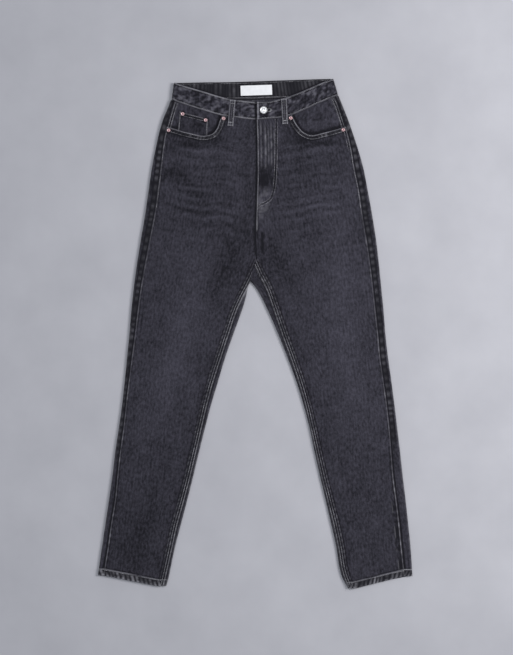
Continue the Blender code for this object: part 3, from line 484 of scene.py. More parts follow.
def fly_dress(leg, x, y):
    """Fly: the wearer's left front is doubled inside the curved stitches and lies over the right front."""
    inland = OUT[leg] * (x - centre_front(y))
    above_crotch = ease(y, CROTCH_Y - 6, CROTCH_Y + 14)
    if leg == "right":
        height = -FLY_DROP * bell(inland, 0.0, FLY_DROP_WIDTH) * ramp(y, CROTCH_Y, CROTCH_Y + 60)
        # Painted shadow on the right front along the centre, where the left front lies over it.
        return height, 0.0, -1.3 * bell(inland, 0.0, 4.5) * above_crotch
    apart, along = distance_to(fly_line, x, y)
    inside, waves = -apart, pucker(along, 7.0, 101)
    beside_rows = window(y, FLY_FOOT_Y, 452, 4.0)
    dull = (1 - 0.7 * window(y, 300.0, 352.0, 8.0)) * ease(y, LINE_END_Y - 2, LINE_END_Y + 3)
    rungs = pucker(y, 5.8, 115) * window(y, 246.0, 274.0, 5.0) * window(inland, 3.0, 15.0, 3.0)
    rubbed = window(inland, 2.0, 26.0, 4.0) * window(y, 242.0, 302.0, 9.0)
    patches = window(inland, 5.0, 40.0, 5.0) * window(y, 308.0, 352.0, 10.0)
    height = FLY_RISE * ease(inside, -3.0, 1.5) * ramp(y, FLY_FOOT_Y - 18, FLY_FOOT_Y)
    height += 0.3 * (waves - 0.5) * window(inside, 0.5, 6.0)
    height -= 0.4 * (1 - ease(inland, 0.0, 1.4)) * above_crotch
    wear = 0.8 * bell(inland, 1.1, 1.0) * (0.45 + 0.55 * (0.5 + 0.5 * wander(y, 21.0, 111))) * dull
    wear += 0.45 * rungs * (0.6 + 0.4 * mottle(x, y, 5.0, 117))
    wear += 0.13 * rubbed * ease(mottle(x, y, 4.5, 118), -0.4, 0.4)
    wear += 0.05 * (bell(inside, 0.0, 0.9) + 0.8 * bell(inside, 5.0, 0.9)) * waves * beside_rows
    fade = -0.5 * bell(inland, 3.6, 1.4) * above_crotch - 0.7 * patches * (0.5 + 0.5 * mottle(x, y, 9.0, 116))
    fade -= 1.1 * bell(inland, 13.0, 2.8) * window(y, 172.0, 212.0, 8.0)
    fade -= 0.9 * (1 - waves) * window(inside, 1.4, 4.0, 0.8) * beside_rows
    for centre, width, top, foot, amount in FLY_STREAKS:
        here = amount * window(y, foot, top, 12.0)
        streak = here * bell(inland, centre, width) * (0.5 + 0.5 * wander(y, 7.0, 112 + int(centre))) * 1.25
        wear += streak
        height += streak
        fade -= 1.4 * here * bell(inland, centre + 3.0, 1.3)
    return height, wear, fade


# %% The whole top of a leg
# Fade below -1 is painted shadow: the darkest lines in seam grooves and beside overlapping edges go that
# deep.
DEEPEST_PAINTED_SHADE = -1.6


def rivet_shade(x, y):
    """Painted shadow: a ring of darker cloth round every rivet."""
    near = np.min([np.hypot(x - centre[0], y - centre[1]) for centre in RIVETS.values()], axis=0)
    return 1.2 * bell(near, 5.2, 1.7)


def leg_top(leg, x, y):
    """Height above the floor, wear, and fade with painted shade in it, of the top of a leg, anywhere in plan.
    """
    x, y = np.broadcast_arrays(np.asarray(x, float), np.asarray(y, float))
    lines = whiskers(leg, x, y)
    height = lift(y) + STACK + bumps(CREASES, x, y)
    height += 0.12 * mottle(x, y, 13.0, 3) + 0.06 * mottle(x, y, 5.0, 4)
    fade = bumps(FADES, x, y) + 0.14 * mottle(x, y, 26.0, 5) + 0.12 * mottle(x, y, 9.0, 6) - rivet_shade(x, y)
    sums = [height + 0.4 * lines, np.zeros(x.shape), fade + 0.9 * lines]
    for dress in (side_seam_dress, inseam_dress, mouth_dress, hem_dress, fly_dress):
        sums = [total + more for total, more in zip(sums, dress(leg, x, y))]
    return sums[0], np.clip(sums[1], 0, 1), np.clip(sums[2], DEEPEST_PAINTED_SHADE, 1)


# %% [markdown]
# ## The underside
# The back lies on the floor, so its creases only lift away from it. The panel is raised over each
# back pocket, and the seams draw it up in small puckers, as they do on the front.

# %% Creases of the back
UNDER_CREASES = [
    (-150, 215, 12, 70, 9, 4, 0.7), (-120, 190, 6, 90, 10, -5, 0.8), (-100, 160, -4, 80, 9, 5, 0.6),
    (-140, 120, 8, 70, 10, 4, 0.5), (150, 212, -10, 75, 9, -4, 0.7), (125, 186, -6, 90, 10, 5, 0.8),
    (100, 158, 4, 80, 9, -5, 0.6), (150, 118, -9, 70, 10, -4, 0.5), (-170, 30, 20, 60, 10, 3, 0.5),
    (-160, -40, -12, 70, 9, 4, 0.7), (-175, -75, 6, 60, 8, -4, 0.6), (-195, -160, -20, 55, 9, 3, 0.5),
    (190, 20, -22, 60, 10, -3, 0.5), (180, -45, 10, 70, 9, -4, 0.7), (200, -82, -8, 60, 8, 4, 0.6),
    (215, -170, 18, 55, 9, -3, 0.5), (-235, -330, 70, 80, 9, 3, 0.5), (260, -330, 106, 80, 9, -3, 0.5),
    (-245, -455, 10, 45, 8, 3, 0.6), (270, -460, -10, 45, 8, -3, 0.6), (-60, 400, 20, 45, 7, 3, 0.3),
    (62, 402, -20, 45, 7, -3, 0.3),
]


# %% Centre back seam and back pockets
POCKET_TOP_WIDTH, POCKET_FOOT_WIDTH, POCKET_HEIGHT, POCKET_POINT, POCKET_WALL = 140.0, 125.0, 133.0, 24.0, 1.2
POCKET_X = {"right": -108.0, "left": 115.0}
POCKET_TOP_Y, POCKET_LIFT = 392.5, 1.5


def centre_back(y):
    """Centre back seam on the underside, from the band to the notch."""
    return NOTCH[0] * ramp(-np.asarray(y, float), -200.0, -NOTCH[1] - FOLD_REACH)


def centre_back_on_top(y):
    """Centre back seam where it comes up between the legs, from the notch to the crotch."""
    return NOTCH[0] + (INSEAM["right"](CROTCH_Y) - NOTCH[0]) * ramp(y, NOTCH[1] + FOLD_REACH, CROTCH_Y)


def outside_pocket(leg, x, y):
    """Distance outside a back pocket: the largest of the distances from its five straight edges."""
    across, down = np.abs(x - POCKET_X[leg]), POCKET_TOP_Y - y
    slant = (POCKET_TOP_WIDTH - POCKET_FOOT_WIDTH) / 2 / POCKET_HEIGHT
    side = (across + slant * down - POCKET_TOP_WIDTH / 2) / np.hypot(1, slant)
    tip = POCKET_POINT / (POCKET_FOOT_WIDTH / 2)
    foot = (down + tip * across - POCKET_HEIGHT - POCKET_POINT) / np.hypot(1, tip)
    return np.maximum.reduce([side, foot, -down])


def leg_under(leg, x, y):
    """Height above the floor, wear and fade of the underside of a leg."""
    x, y = np.broadcast_arrays(np.asarray(x, float), np.asarray(y, float))
    outside = outside_pocket(leg, x, y)
    padded = 1 - ease(outside, 1.0, 14.0)
    height = np.maximum(bumps(UNDER_CREASES, x, y) + 0.15 + 0.1 * mottle(x, y, 14.0, 7), 0)
    height = height * (1 - padded) * (1 - 0.8 * ease(y, 392.0, 402.0)) + POCKET_LIFT * padded
    fade = 0.25 * bumps(FADES, x, y) + 0.12 * mottle(x, y, 26.0, 8) + 0.25 * bell(outside, 3.0, 8.0)
    wear = 0.0
    for line, seed in ((np.array([(0, 500.0), (0.0, 200.0), NOTCH]), 121), (yoke_line[leg], 131)):
        apart, along = distance_to(line, x, y)
        waves = pucker(along, 10.0, seed)
        wear = wear + 0.5 * bell(np.abs(apart), 1.0, 1.3) * (0.3 + 0.7 * waves)
        height = height + 0.3 * waves * bell(np.abs(apart), 4.0, 3.0) * (1 - padded)
    return lift(y) + height, np.clip(wear, 0, 1), np.clip(fade, -1, 1)


# %% [markdown]
# ## From grids to a mesh
# A piece of cloth is one or more grids, each with an outer and an inner skin. Grids that share an
# edge are welded, and every free edge gets a rim, so that the piece is one closed shell. Solidify
# would do nearly the same, but here the two skins of a folded edge have their own shapes.

# %% Meshes and pieces
made, surfaces = {}, {}


def fill_mesh(name, points, faces):
    """A mesh from an array of points and an array of faces that all have the same number of corners."""
    mesh = bpy.data.meshes.new(name)
    mesh.vertices.add(len(points))
    mesh.vertices.foreach_set("co", ((points - MIDDLE) * MM).astype(np.float32).ravel())
    mesh.loops.add(faces.size)
    mesh.loops.foreach_set("vertex_index", faces.astype(np.int32).ravel())
    mesh.polygons.add(len(faces))
    mesh.polygons.foreach_set("loop_start", np.arange(0, faces.size, faces.shape[1], dtype=np.int32))
    mesh.update(calc_edges=True)
    return mesh


def put_values(mesh, field, values):
    """A value on every point of a mesh, which the material reads by its name."""
    mesh.attributes.new(field, "FLOAT", "POINT").data.foreach_set("value", values.astype(np.float32).ravel())


def place(name, mesh, material):
    """A finished piece at the origin, on the one body, with its material."""
    mesh.materials.append(material)
    piece = bpy.data.objects.new(name, mesh)
    bpy.context.scene.collection.objects.link(piece)
    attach(piece, "root")
    return piece


# %% Closed shells of cloth
# fade is the paleness that the wash left; below zero it also carries painted shade in grooves, pucker dips,
# beside edges and round rivets.
SKIN_FIELDS = ("outer", "inner", "grain", "wear", "fade", "back_wear", "back_fade")


def skin(outer, inner, grain, wear, fade, back_wear=None, back_fade=None):
    """One grid of cloth: its two skins, its place in the weave, and the wear and fade of each skin, where
    fade also carries painted shade.
    """
    back_wear = wear if back_wear is None else back_wear
    back_fade = fade if back_fade is None else back_fade
    return dict(zip(SKIN_FIELDS, (outer, inner, grain, wear, fade, back_wear, back_fade)))


def raised(plan, height):
    """Points of a plan at a height."""
    return np.concatenate([plan, np.broadcast_to(height, plan.shape[:-1])[..., None]], axis=-1)


def layer(plan, top, wall):
    """The two skins of a flat layer: its outer one, and the same points a wall lower.
    A wall below zero is for cloth that is seen from beneath, whose inner skin is the higher one."""
    return raised(plan, top), raised(plan, top - wall)


def grid_faces(rows, columns, start=0):
    """Four corners of every cell of a grid, numbered along its rows."""
    index = start + np.arange(rows * columns).reshape(rows, columns)
    return np.stack([index[:-1, :-1], index[:-1, 1:], index[1:, 1:], index[1:, :-1]], axis=-1).reshape(-1, 4)


def signed_volume(points, faces):
    """Six times the volume inside a closed shell, negative where its faces point inwards."""
    a, b, c, d = (points[faces[:, i]] for i in (0, 1, -2, -1))
    inside = (a * np.cross(b, c)).sum()
    return inside + (a * np.cross(c, d)).sum() if faces.shape[1] == 4 else inside


def cloth(name, node, skins, material=None):
    """A closed shell of cloth from its grids, with its weave map and its wear and fade, painted shade
    included, on every point.
    """
    flat = {field: np.concatenate([grid[field].reshape(grid["wear"].size, -1) for grid in skins])
            for field in SKIN_FIELDS}
    faces, start = [], 0
    for grid in skins:
        faces.append(grid_faces(*grid["wear"].shape, start))
        start += grid["wear"].size
    _, first, same = np.unique(np.round(flat["outer"], 4), axis=0, return_index=True, return_inverse=True)
    faces = same.reshape(-1)[np.concatenate(faces)]
    count = len(first)
    edges = np.concatenate([np.stack([faces[:, i], faces[:, (i + 1) % 4]], axis=1) for i in range(4)])
    _, back, times = np.unique(edges.min(1) * count + edges.max(1), return_inverse=True, return_counts=True)
    free = edges[times[back.reshape(-1)] == 1]
    rim = np.stack([free[:, 1], free[:, 0], free[:, 0] + count, free[:, 1] + count], axis=1)
    faces = np.concatenate([faces, faces[:, ::-1] + count, rim])
    points = np.concatenate([flat["outer"][first], flat["inner"][first]])
    if signed_volume(points, faces) < 0:
        faces = faces[:, ::-1]
    mesh = fill_mesh(name, points, faces)
    weave = np.tile(flat["grain"][first], (2, 1)) * MM
    mesh.uv_layers.new(name="grain").data.foreach_set("uv", weave[faces.ravel()].astype(np.float32).ravel())
    # The fade attribute carries painted shade as well as the wash's fades.
    for field in ("wear", "fade"):
        put_values(mesh, field, np.concatenate([flat[field][first], flat["back_" + field][first]]))
    mesh.shade_smooth()
    mesh.set_sharp_from_angle(angle=np.radians(60))
    surfaces[name] = skins
    made[name] = place(name, mesh, material or denim_face)
    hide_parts(node)
    print(f"{name}: {2 * len(faces)} triangles")


# %% [markdown]
# ## Denim
# Washed black denim has fine slanting twill lines, threads of uneven thickness that run down the
# leg as pale specks and streaks, broad fades, and pale worn edges. The weave and the wash are node
# groups that put out a height and masks, so that each material can mix its own colours. The weave
# follows the piece's own map, which runs down the grain of each panel.

# %% Helpers for shader nodes
def new_group(name, sockets_in, sockets_out):
    """An empty shader group whose named sockets go in or come out."""
    tree = bpy.data.node_groups.new(name, "ShaderNodeTree")
    for way, sockets in (("INPUT", sockets_in), ("OUTPUT", sockets_out)):
        for socket, kind in sockets.items():
            tree.interface.new_socket(socket, in_out=way, socket_type="NodeSocket" + kind)
    return tree, tree.nodes.new("NodeGroupInput").outputs, tree.nodes.new("NodeGroupOutput").inputs


def add_node(tree, kind, inputs=(), **settings):
    """One node with its settings. Each input is a number, a colour or an output socket."""
    node = tree.nodes.new("ShaderNode" + kind)
    for setting, value in settings.items():
        setattr(node, setting, value)
    for socket, value in (inputs.items() if isinstance(inputs, dict) else enumerate(inputs)):
        if isinstance(value, bpy.types.NodeSocket):
            tree.links.new(value, node.inputs[socket])
        elif value is not None:
            node.inputs[socket].default_value = value
    return node


def add_math(tree, operation, *values, clamp=False):
    return add_node(tree, "Math", values, operation=operation, use_clamp=clamp).outputs[0]


def add_vector_math(tree, operation, vector, other):
    return add_node(tree, "VectorMath", (vector, other), operation=operation).outputs


def add_noise(tree, vector, scale, detail=2.0, roughness=0.5):
    """Noise on coordinates that are first stretched by a scale for each axis. It is about 0.5 on average."""
    stretched = add_vector_math(tree, "MULTIPLY", vector, np.broadcast_to(scale, 3))["Vector"]
    given = {"Vector": stretched, "Scale": 1.0, "Detail": detail, "Roughness": roughness}
    return add_node(tree, "TexNoise", given).outputs["Fac"]


def spread(tree, value, low, high, out_low=0.0, out_high=1.0):
    """The range from low to high stretched over a new range, and held at its ends."""
    return add_node(tree, "MapRange", (value, low, high, out_low, out_high)).outputs["Result"]


def mix_colours(tree, share, first, second):
    given = {"Factor": share, 6: first, 7: second}
    return add_node(tree, "Mix", given, data_type="RGBA").outputs[2]


def grain_map(tree):
    """The piece's own map: across and along the grain of its cloth, in metres."""
    return add_node(tree, "UVMap", uv_map="grain").outputs["UV"]


def object_place(tree):
    return tree.nodes.new("ShaderNodeTexCoord").outputs["Object"]


def own_value(tree, field):
    return add_node(tree, "Attribute", attribute_name=field).outputs["Fac"]


# %% Twill weave and its uneven threads
def make_twill():
    """Height of slanting ridges 0.9 mm apart, and masks of pale slubs that run down the grain."""
    floats = dict.fromkeys(("Height", "Slub", "Speck"), "Float")
    tree, given, put = new_group("twill_weave", {"Grain": "Vector"}, floats)
    grain = given["Grain"]
    slope = add_vector_math(tree, "DOT_PRODUCT", grain, (5800.0, 4100.0, 0.0))["Value"]
    crossing = add_vector_math(tree, "DOT_PRODUCT", grain, (0.0, 11000.0, 0.0))["Value"]
    ribs = add_math(tree, "SINE", crossing)
    woven = add_math(tree, "MULTIPLY_ADD", ribs, 0.35, add_math(tree, "SINE", slope))
    streak = add_noise(tree, grain, (230.0, 130.0, 1.0), 2.0, 0.5)
    long_streak = add_noise(tree, grain, (300.0, 30.0, 1.0), 2.0, 0.5)
    speck = add_noise(tree, grain, (1300.0, 700.0, 1.0), 1.0, 0.5)
    mixed = add_math(tree, "MULTIPLY_ADD", long_streak, 0.35, add_math(tree, "MULTIPLY", streak, 0.65))
    tree.links.new(add_math(tree, "MULTIPLY_ADD", streak, 0.8, woven), put["Height"])
    tree.links.new(spread(tree, mixed, 0.34, 0.66), put["Slub"])
    tree.links.new(spread(tree, speck, 0.38, 0.7), put["Speck"])
    return tree


twill = make_twill()


# %% Wash: how pale the cloth is
def make_wash():
    """Paleness from 0 to 1: fade lifts it broadly, and slubs and specks break it up.
    Wear is a second mask, which the specks break up too."""
    masks = ("Fade", "Wear", "Slub", "Speck")
    tree, given, put = new_group("wash", dict.fromkeys(masks, "Float"), {"Pale": "Float", "Worn": "Float"})
    fade, wear, slub, speck = (given[name] for name in masks)
    # Fade below zero also carries painted shade, which pulls the colour down to the dark dye.
    broad = add_math(tree, "MULTIPLY_ADD", fade, 0.42, 0.34)
    threads_pale = add_math(tree, "MULTIPLY_ADD", slub, 0.46, -0.23)
    grains = add_math(tree, "MULTIPLY_ADD", speck, 0.3, -0.15)
    pale = add_math(tree, "ADD", add_math(tree, "ADD", broad, threads_pale), grains, clamp=True)
    broken = add_math(tree, "MULTIPLY_ADD", speck, 0.5, 0.62)
    tree.links.new(pale, put["Pale"])
    tree.links.new(add_math(tree, "MULTIPLY", wear, broken, clamp=True), put["Worn"])
    return tree


wash = make_wash()


# %% Denim material
def principled(name, roughness, metallic=0.0, sheen=0.0):
    """A new material and its shader, with the values that are the same all over set on its own sockets."""
    new = bpy.data.materials.new(name)
    new.use_nodes = True
    shader = new.node_tree.nodes["Principled BSDF"]
    for socket, value in (("Roughness", roughness), ("Metallic", metallic), ("Sheen Weight", sheen)):
        shader.inputs[socket].default_value = value
    return new, new.node_tree, shader.inputs


def add_bump(tree, surface, height, distance, strength):
    bump = add_node(tree, "Bump", {"Distance": distance, "Strength": strength, "Height": height})
    tree.links.new(bump.outputs["Normal"], surface["Normal"])


def denim(name, dark, pale, worn):
    """Washed denim from three colours: the dark dye, which shows in the dips and where painted shade falls,
    the washed face, and the worn edges.
    """
    new, tree, surface = principled(name, 0.9, sheen=0.05)
    surface["Specular IOR Level"].default_value = 0.1
    surface["Sheen Roughness"].default_value = 0.6
    weave = add_node(tree, "Group", {}, node_tree=twill)
    tree.links.new(grain_map(tree), weave.inputs["Grain"])
    washed = add_node(tree, "Group", {}, node_tree=wash)
    for field in ("Fade", "Wear"):
        tree.links.new(own_value(tree, field.lower()), washed.inputs[field])
    for socket in ("Slub", "Speck"):
        tree.links.new(weave.outputs[socket], washed.inputs[socket])
    face = mix_colours(tree, washed.outputs["Pale"], dark, pale)
    tree.links.new(mix_colours(tree, washed.outputs["Worn"], face, worn), surface["Base Color"])
    add_bump(tree, surface, weave.outputs["Height"], 0.00012, 0.6)
    return new


denim_face = denim("washed_denim", (0.0085, 0.0082, 0.0122, 1), (0.084, 0.0805, 0.108, 1),
                   (0.36, 0.355, 0.395, 1))

# %% [markdown]
# ## Front panels
# Each front is cut to a curve at the band's foot, scooped out for the pocket, and runs down to the
# hem between the side seam and the centre front or the inseam. It is one grid: a straight blend
# between the two seams, pulled up at the top to meet the band and the pocket's mouth.

# %% Rows and columns of a leg
ROW_STEP, COLUMN_STEP, FINE_STEP = 2.8, 3.2, 1.4
FINE_AT_ENDS, FINE_AT_SIDE = 17.0, 20.0
FINE_AT_FLY = {"right": 9.0, "left": 54.0}


def lean(leg, side_y):
    """Height at the inseam of the row that meets the side seam at side_y, because the hem runs aslant."""
    tilt = ramp(-side_y, HEM_TILT_FROM, -HEM_OUTER["right"]) ** 2
    return side_y + tilt * (HEM_INNER[leg] - HEM_OUTER[leg])


def leg_rows(top, foot):
    """Heights of a leg's rows, closer together near the top edge and in the hem."""
    line = pairs(np.zeros(2000), np.linspace(top, foot, 2000))
    edge = np.minimum(top - line[:, 1], 0.9 * (line[:, 1] - foot))
    return graded(line, np.where(edge < FINE_AT_ENDS, FINE_STEP, ROW_STEP))[:, 1]


def front_top(leg):
    """Top edge of a front panel: along the band's foot, then down round the pocket's mouth."""
    xs = np.linspace(centre_front(448.0) + OUT[leg] * HALF_GAP, mouths[leg][0, 0], 200)
    band = pairs(xs, band_foot(xs) - GAP)
    curve = evenly(MOUTH[leg], 0.5)
    curve[:, 1] += (band[-1, 1] - curve[0, 1]) * np.clip(1 - path_length(curve) / 15.0, 0, 1)
    curve[-1] = (seam_x(leg, POCKET_SIDE_Y, -HALF_GAP), POCKET_SIDE_Y)
    line = np.concatenate([band[:-1], curve])
    fine = np.abs(line[:, 0] - line[0, 0]) < FINE_AT_FLY[leg]
    fine |= np.abs(line[:, 0] - line[-1, 0]) < FINE_AT_SIDE
    return graded(line, np.where(fine, FINE_STEP, COLUMN_STEP))


def front_plan(leg):
    """Rows blended between the two seams, plus the top edge's own curve, which fades down the leg."""
    top = front_top(leg)
    side_y = leg_rows(POCKET_SIDE_Y, HEM_OUTER[leg])
    inner_y = lean(leg, side_y) + (top[0, 1] - POCKET_SIDE_Y) * ramp(side_y, 325.0, POCKET_SIDE_Y)
    inner_x = np.where(inner_y > CROTCH_Y, centre_front(inner_y), INSEAM[leg](inner_y))
    start = pairs(inner_x + OUT[leg] * HALF_GAP, inner_y)
    end = pairs(seam_x(leg, side_y, -HALF_GAP), side_y)
    top[0], top[-1] = start[0], end[0]
    share = (top[:, 0] - top[0, 0]) / (top[-1, 0] - top[0, 0])
    flat = start[:, None] + share[None, :, None] * (end - start)[:, None]
    fade = ramp(side_y, 300.0, POCKET_SIDE_Y) ** 1.3
    return flat + fade[:, None, None] * (top - flat[0])[None]


for leg in LEGS:
    front = front_plan(leg)
    height, wear, fade = leg_top(leg, front[..., 0], front[..., 1])
    grain = pairs(*distance_to(side_seam[leg], front[..., 0], front[..., 1]))
    cloth(f"front_{leg}", f"front_panel_{leg}", [skin(*layer(front, height, WALL), grain, wear, fade)])

# %% [markdown]
# ## Back panels and yokes
# A back panel is wider than the front. It comes up round the outer fold to the side seam, and below
# the crotch round the inner fold to the inseam, so it shows as two narrow strips beside the front.
# Each row is a section through the cloth: strip, half turn, underside, half turn, strip.

# %% Folded edges
STRIP_STEPS, FOLD_STEPS, UNDER_STEPS = 12, 10, 34
TURN = np.radians(np.linspace(90, -90, FOLD_STEPS + 1))


def fold_slope(curve, y, step=2.0):
    """How fast a folded edge's x changes with height."""
    return (curve(y + step) - curve(y - step)) / (2 * step)


def side_fold(leg, y):
    """Points on the outer folded edge, and the direction into the cloth at each."""
    curve = SIDE[leg + "_fold"]
    return pairs(curve(y), y), unit(pairs(-OUT[leg] + 0 * y, OUT[leg] * fold_slope(curve, y)))


def inner_fold(leg, y):
    """Points on a leg's inner folded edge, and the direction into the cloth at each.
    Down from the notch that direction swings from lengthwise to across."""
    swing = ease(NOTCH[1] - y, 0.0, 14.0)[:, None]
    across = unit(pairs(OUT[leg] + 0 * y, -OUT[leg] * fold_slope(INNER[leg], y)))
    inward = unit(swing * across + (1 - swing) * np.array([0.0, 1.0]))
    return pairs(INNER[leg](y) + OUT[leg] * HALF_GAP, y), inward


def round_fold(edge, inward, angles, base, height, wall=WALL):
    """Half turn of cloth: an ellipse of outer points and a smaller one of inner points at each row."""
    edge, inward, angles = edge[:, None], inward[:, None], angles[None, :]
    base = np.reshape(base, (-1, 1))
    reach = FOLD_REACH * (1 - np.cos(angles))
    inside = wall + (FOLD_REACH - wall) * (1 - np.cos(angles))
    outer_z = base + height / 2 * (1 + np.sin(angles))
    inner_z = base + height / 2 + (height / 2 - wall) * np.sin(angles)
    return (raised(edge + inward * reach[..., None], outer_z),
            raised(edge + inward * inside[..., None], inner_z))


def between(start, end, steps):
    """Plan points from start to end in even steps at each row, both ends included."""
    share = np.linspace(0, 1, steps + 1)[None, :, None]
    return start[:, None] + share * (end - start)[:, None]


# %% Parts of a section
def dressed_fold(leg, edge, inward, angles, base):
    """A half turn with the creases and wear of the top, which die away down the side."""
    outer, inner = round_fold(edge, inward, angles, base, STACK)
    top_height, wear, fade = leg_top(leg, outer[..., 0], outer[..., 1])
    shown = np.clip(np.sin(angles), 0, 1)[None, :]
    relief = (top_height - STACK - lift(outer[..., 1])) * shown
    outer[..., 2] += relief
    inner[..., 2] += relief
    worn_edge = 0.3 * bell(np.sin(angles), 0.45, 0.4)[None, :] * (0.5 + 0.5 * wander(edge[:, 1:], 9.0, 141))
    return outer, inner, np.clip(wear * shown + worn_edge, 0, 1), fade * (0.4 + 0.6 * shown)


def dressed_strip(leg, start, end):
    """A flat strip on top of the leg, from start to end."""
    plan = between(start, end, STRIP_STEPS)
    height, wear, fade = leg_top(leg, plan[..., 0], plan[..., 1])
    return *layer(plan, height, WALL), wear, fade


def dressed_under(leg, plan, both_ends):
    """The underside, level with the folds where it meets them: at its start, and in some rows at its end."""
    height, wear, fade = leg_under(leg, plan[..., 0], plan[..., 1])
    share = np.linspace(0, 1, plan.shape[1])[None, :]
    free = ease(share, 0, 0.09) * np.where(both_ends[:, None], ease(1 - share, 0, 0.09), 1)
    base = lift(plan[..., 1])
    return *layer(plan, base + (height - base) * free, -WALL), wear, fade


def join(parts, along):
    """Parts of a section side by side, each shared column once, with the weave measured round the section."""
    outer, inner, wear, fade = (
        np.concatenate([part[i] if k == 0 else part[i][:, 1:] for k, part in enumerate(parts)], axis=1)
        for i in range(4)
    )
    steps = np.linalg.norm(np.diff(outer, axis=1), axis=2)
    across = np.concatenate([np.zeros((len(outer), 1)), np.cumsum(steps, axis=1)], axis=1)
    return skin(outer, inner, pairs(across, along[:, None]), wear, fade)


def outer_part(leg, side_y, seam_y, end, both_ends):
    """Section from the side seam round the outer fold and across the underside to end."""
    edge, inward = side_fold(leg, side_y)
    turn_end = edge + inward * FOLD_REACH
    strip = dressed_strip(leg, pairs(seam_x(leg, seam_y, HALF_GAP), seam_y), turn_end)
    fold = dressed_fold(leg, edge, inward, TURN, lift(side_y))
    return join([strip, fold, dressed_under(leg, between(turn_end, end, UNDER_STEPS), both_ends)], -side_y)


# %% Back panels
LOWER_FROM_Y = 112.0


def back_panel(leg):
    """Upper rows end at the centre back. Lower rows go on round the inner fold to the inseam."""
    gap = OUT[leg] * HALF_GAP
    upper = np.arange(YOKE_SEAM_SIDE - HALF_GAP, LOWER_FROM_Y + 2, -ROW_STEP)
    lower = np.concatenate([[LOWER_FROM_Y], leg_rows(128.0, HEM_OUTER[leg])[12:]])
    centre_y = upper - (YOKE_SEAM_SIDE - YOKE_SEAM_CENTRE) * ramp(upper, 394.0, YOKE_SEAM_SIDE)
    inner_y = lean(leg, lower)
    fold_y = inner_y - (LOWER_FROM_Y - NOTCH[1]) * (1 - ramp(LOWER_FROM_Y - lower, 0.0, 30.0))
    edge, inward = inner_fold(leg, fold_y)
    turn_start = edge + inward * FOLD_REACH
    side_y = np.concatenate([upper, lower])
    end = np.concatenate([pairs(centre_back(centre_y) + gap, centre_y), turn_start])
    whole = outer_part(leg, side_y, side_y, end, side_y <= LOWER_FROM_Y)
    fold = dressed_fold(leg, edge, inward, TURN[::-1], 0 * lower)
    strip = dressed_strip(leg, turn_start, pairs(inseam_x(leg, inner_y, -HALF_GAP), inner_y))
    wrap = join([fold, strip], -lower)
    gore_y = np.linspace(156.5, LOWER_FROM_Y, 18)
    start = pairs(centre_back_on_top(gore_y) + gap, gore_y)
    end = pairs(inseam_x(leg, gore_y, -HALF_GAP), gore_y)
    plan = between(start, end, STRIP_STEPS)
    plan[-1] = wrap["outer"][0, FOLD_STEPS:, :2]
    height, wear, fade = leg_top(leg, plan[..., 0], plan[..., 1])
    cloth(f"back_{leg}", f"back_panel_{leg}",
          [whole, wrap, join([(*layer(plan, height, WALL), wear, fade)], -gore_y)])


for leg in LEGS:
    back_panel(leg)


# %% Yokes
def yoke(leg):
    """From the foot of the waistband to the yoke seam, round the outer fold to the side seam."""
    corner = BAND_CORNERS[leg][1][1]
    seam_top = band_foot(seam_x(leg, corner - 5)) - GAP
    down = np.linspace(0, 2, 27)
    side_y = np.interp(down, [0, 1, 2], [corner - 0.5, 478.0, YOKE_SEAM_SIDE + HALF_GAP])
    seam_y = np.interp(down, [0, 1, 2], [seam_top, 477.0, YOKE_SEAM_SIDE + HALF_GAP])
    centre_y = np.interp(down, [0, 1, 2], [BAND_BACK_FOOT[1] - 0.4, 456.0, YOKE_SEAM_CENTRE + HALF_GAP])
    end = pairs(OUT[leg] * HALF_GAP, centre_y)
    return [outer_part(leg, side_y, seam_y, end, np.zeros(len(down), bool))]


for leg in LEGS:
    cloth(f"yoke_cloth_{leg}", f"yoke_{leg}", yoke(leg))

# %% [markdown]
# ## Hip pockets
# The facing is the denim that shows inside a pocket's mouth. It lies lower than the front, whose
# edge throws a thin shadow on it, and painted shadow darkens it further along the mouth. The coin
# pocket is a patch on the wearer's right facing.

# %% Facings
FACING_WALL, FACING_LOW, FACING_RISE, FACING_RUN, FACING_TUCK = 1.0, 2.9, 1.1, 60.0, 8.0


def facing_height(leg, x, y):
    """Top of a pocket facing: low under the mouth's edge, higher towards the band and the side."""
    return lift(y) + FACING_LOW + FACING_RISE * ramp(y - through(*MOUTH[leg].T, x), 0.0, FACING_RUN)


def facing_plan(leg):
    """Grid between a line tucked under the pocket's mouth and a line under the band and the side."""
    out = OUT[leg]
    steps, turn_at = 9, 6
    knots = evenly(MOUTH[leg], path_length(mouths[leg])[-1] / steps)
    inner = beside(knots, -FACING_TUCK * out)
    start_x = knots[0, 0] - out * FACING_TUCK
    corner_x = seam_x(leg, BAND_CORNERS[leg][1][1] - 4, 2.0)
    band_x = np.linspace(start_x, corner_x, turn_at + 1)
    band_y = band_foot(band_x) + 3.0
    side_y = np.linspace(band_y[-1], POCKET_SIDE_Y - FACING_TUCK, steps - turn_at + 1)[1:]
    side_x = seam_x(leg, side_y, 2.0)
    outer = pairs(np.concatenate([band_x, side_x]), np.concatenate([band_y, side_y]))
    inner[0] = [start_x, outer[0, 1] - 2 * FACING_TUCK]
    inner[-1] = [side_x[-1] - out * 2 * FACING_TUCK, side_y[-1] - 1]
    fine = np.linspace(0, steps, 64)
    inner, outer = (pairs(*(np.interp(fine, np.arange(len(line)), column) for column in line.T))
                    for line in (inner, outer))
    share = np.linspace(0, 1, 30)[:, None, None]
    return inner[None] * (1 - share) + outer[None] * share


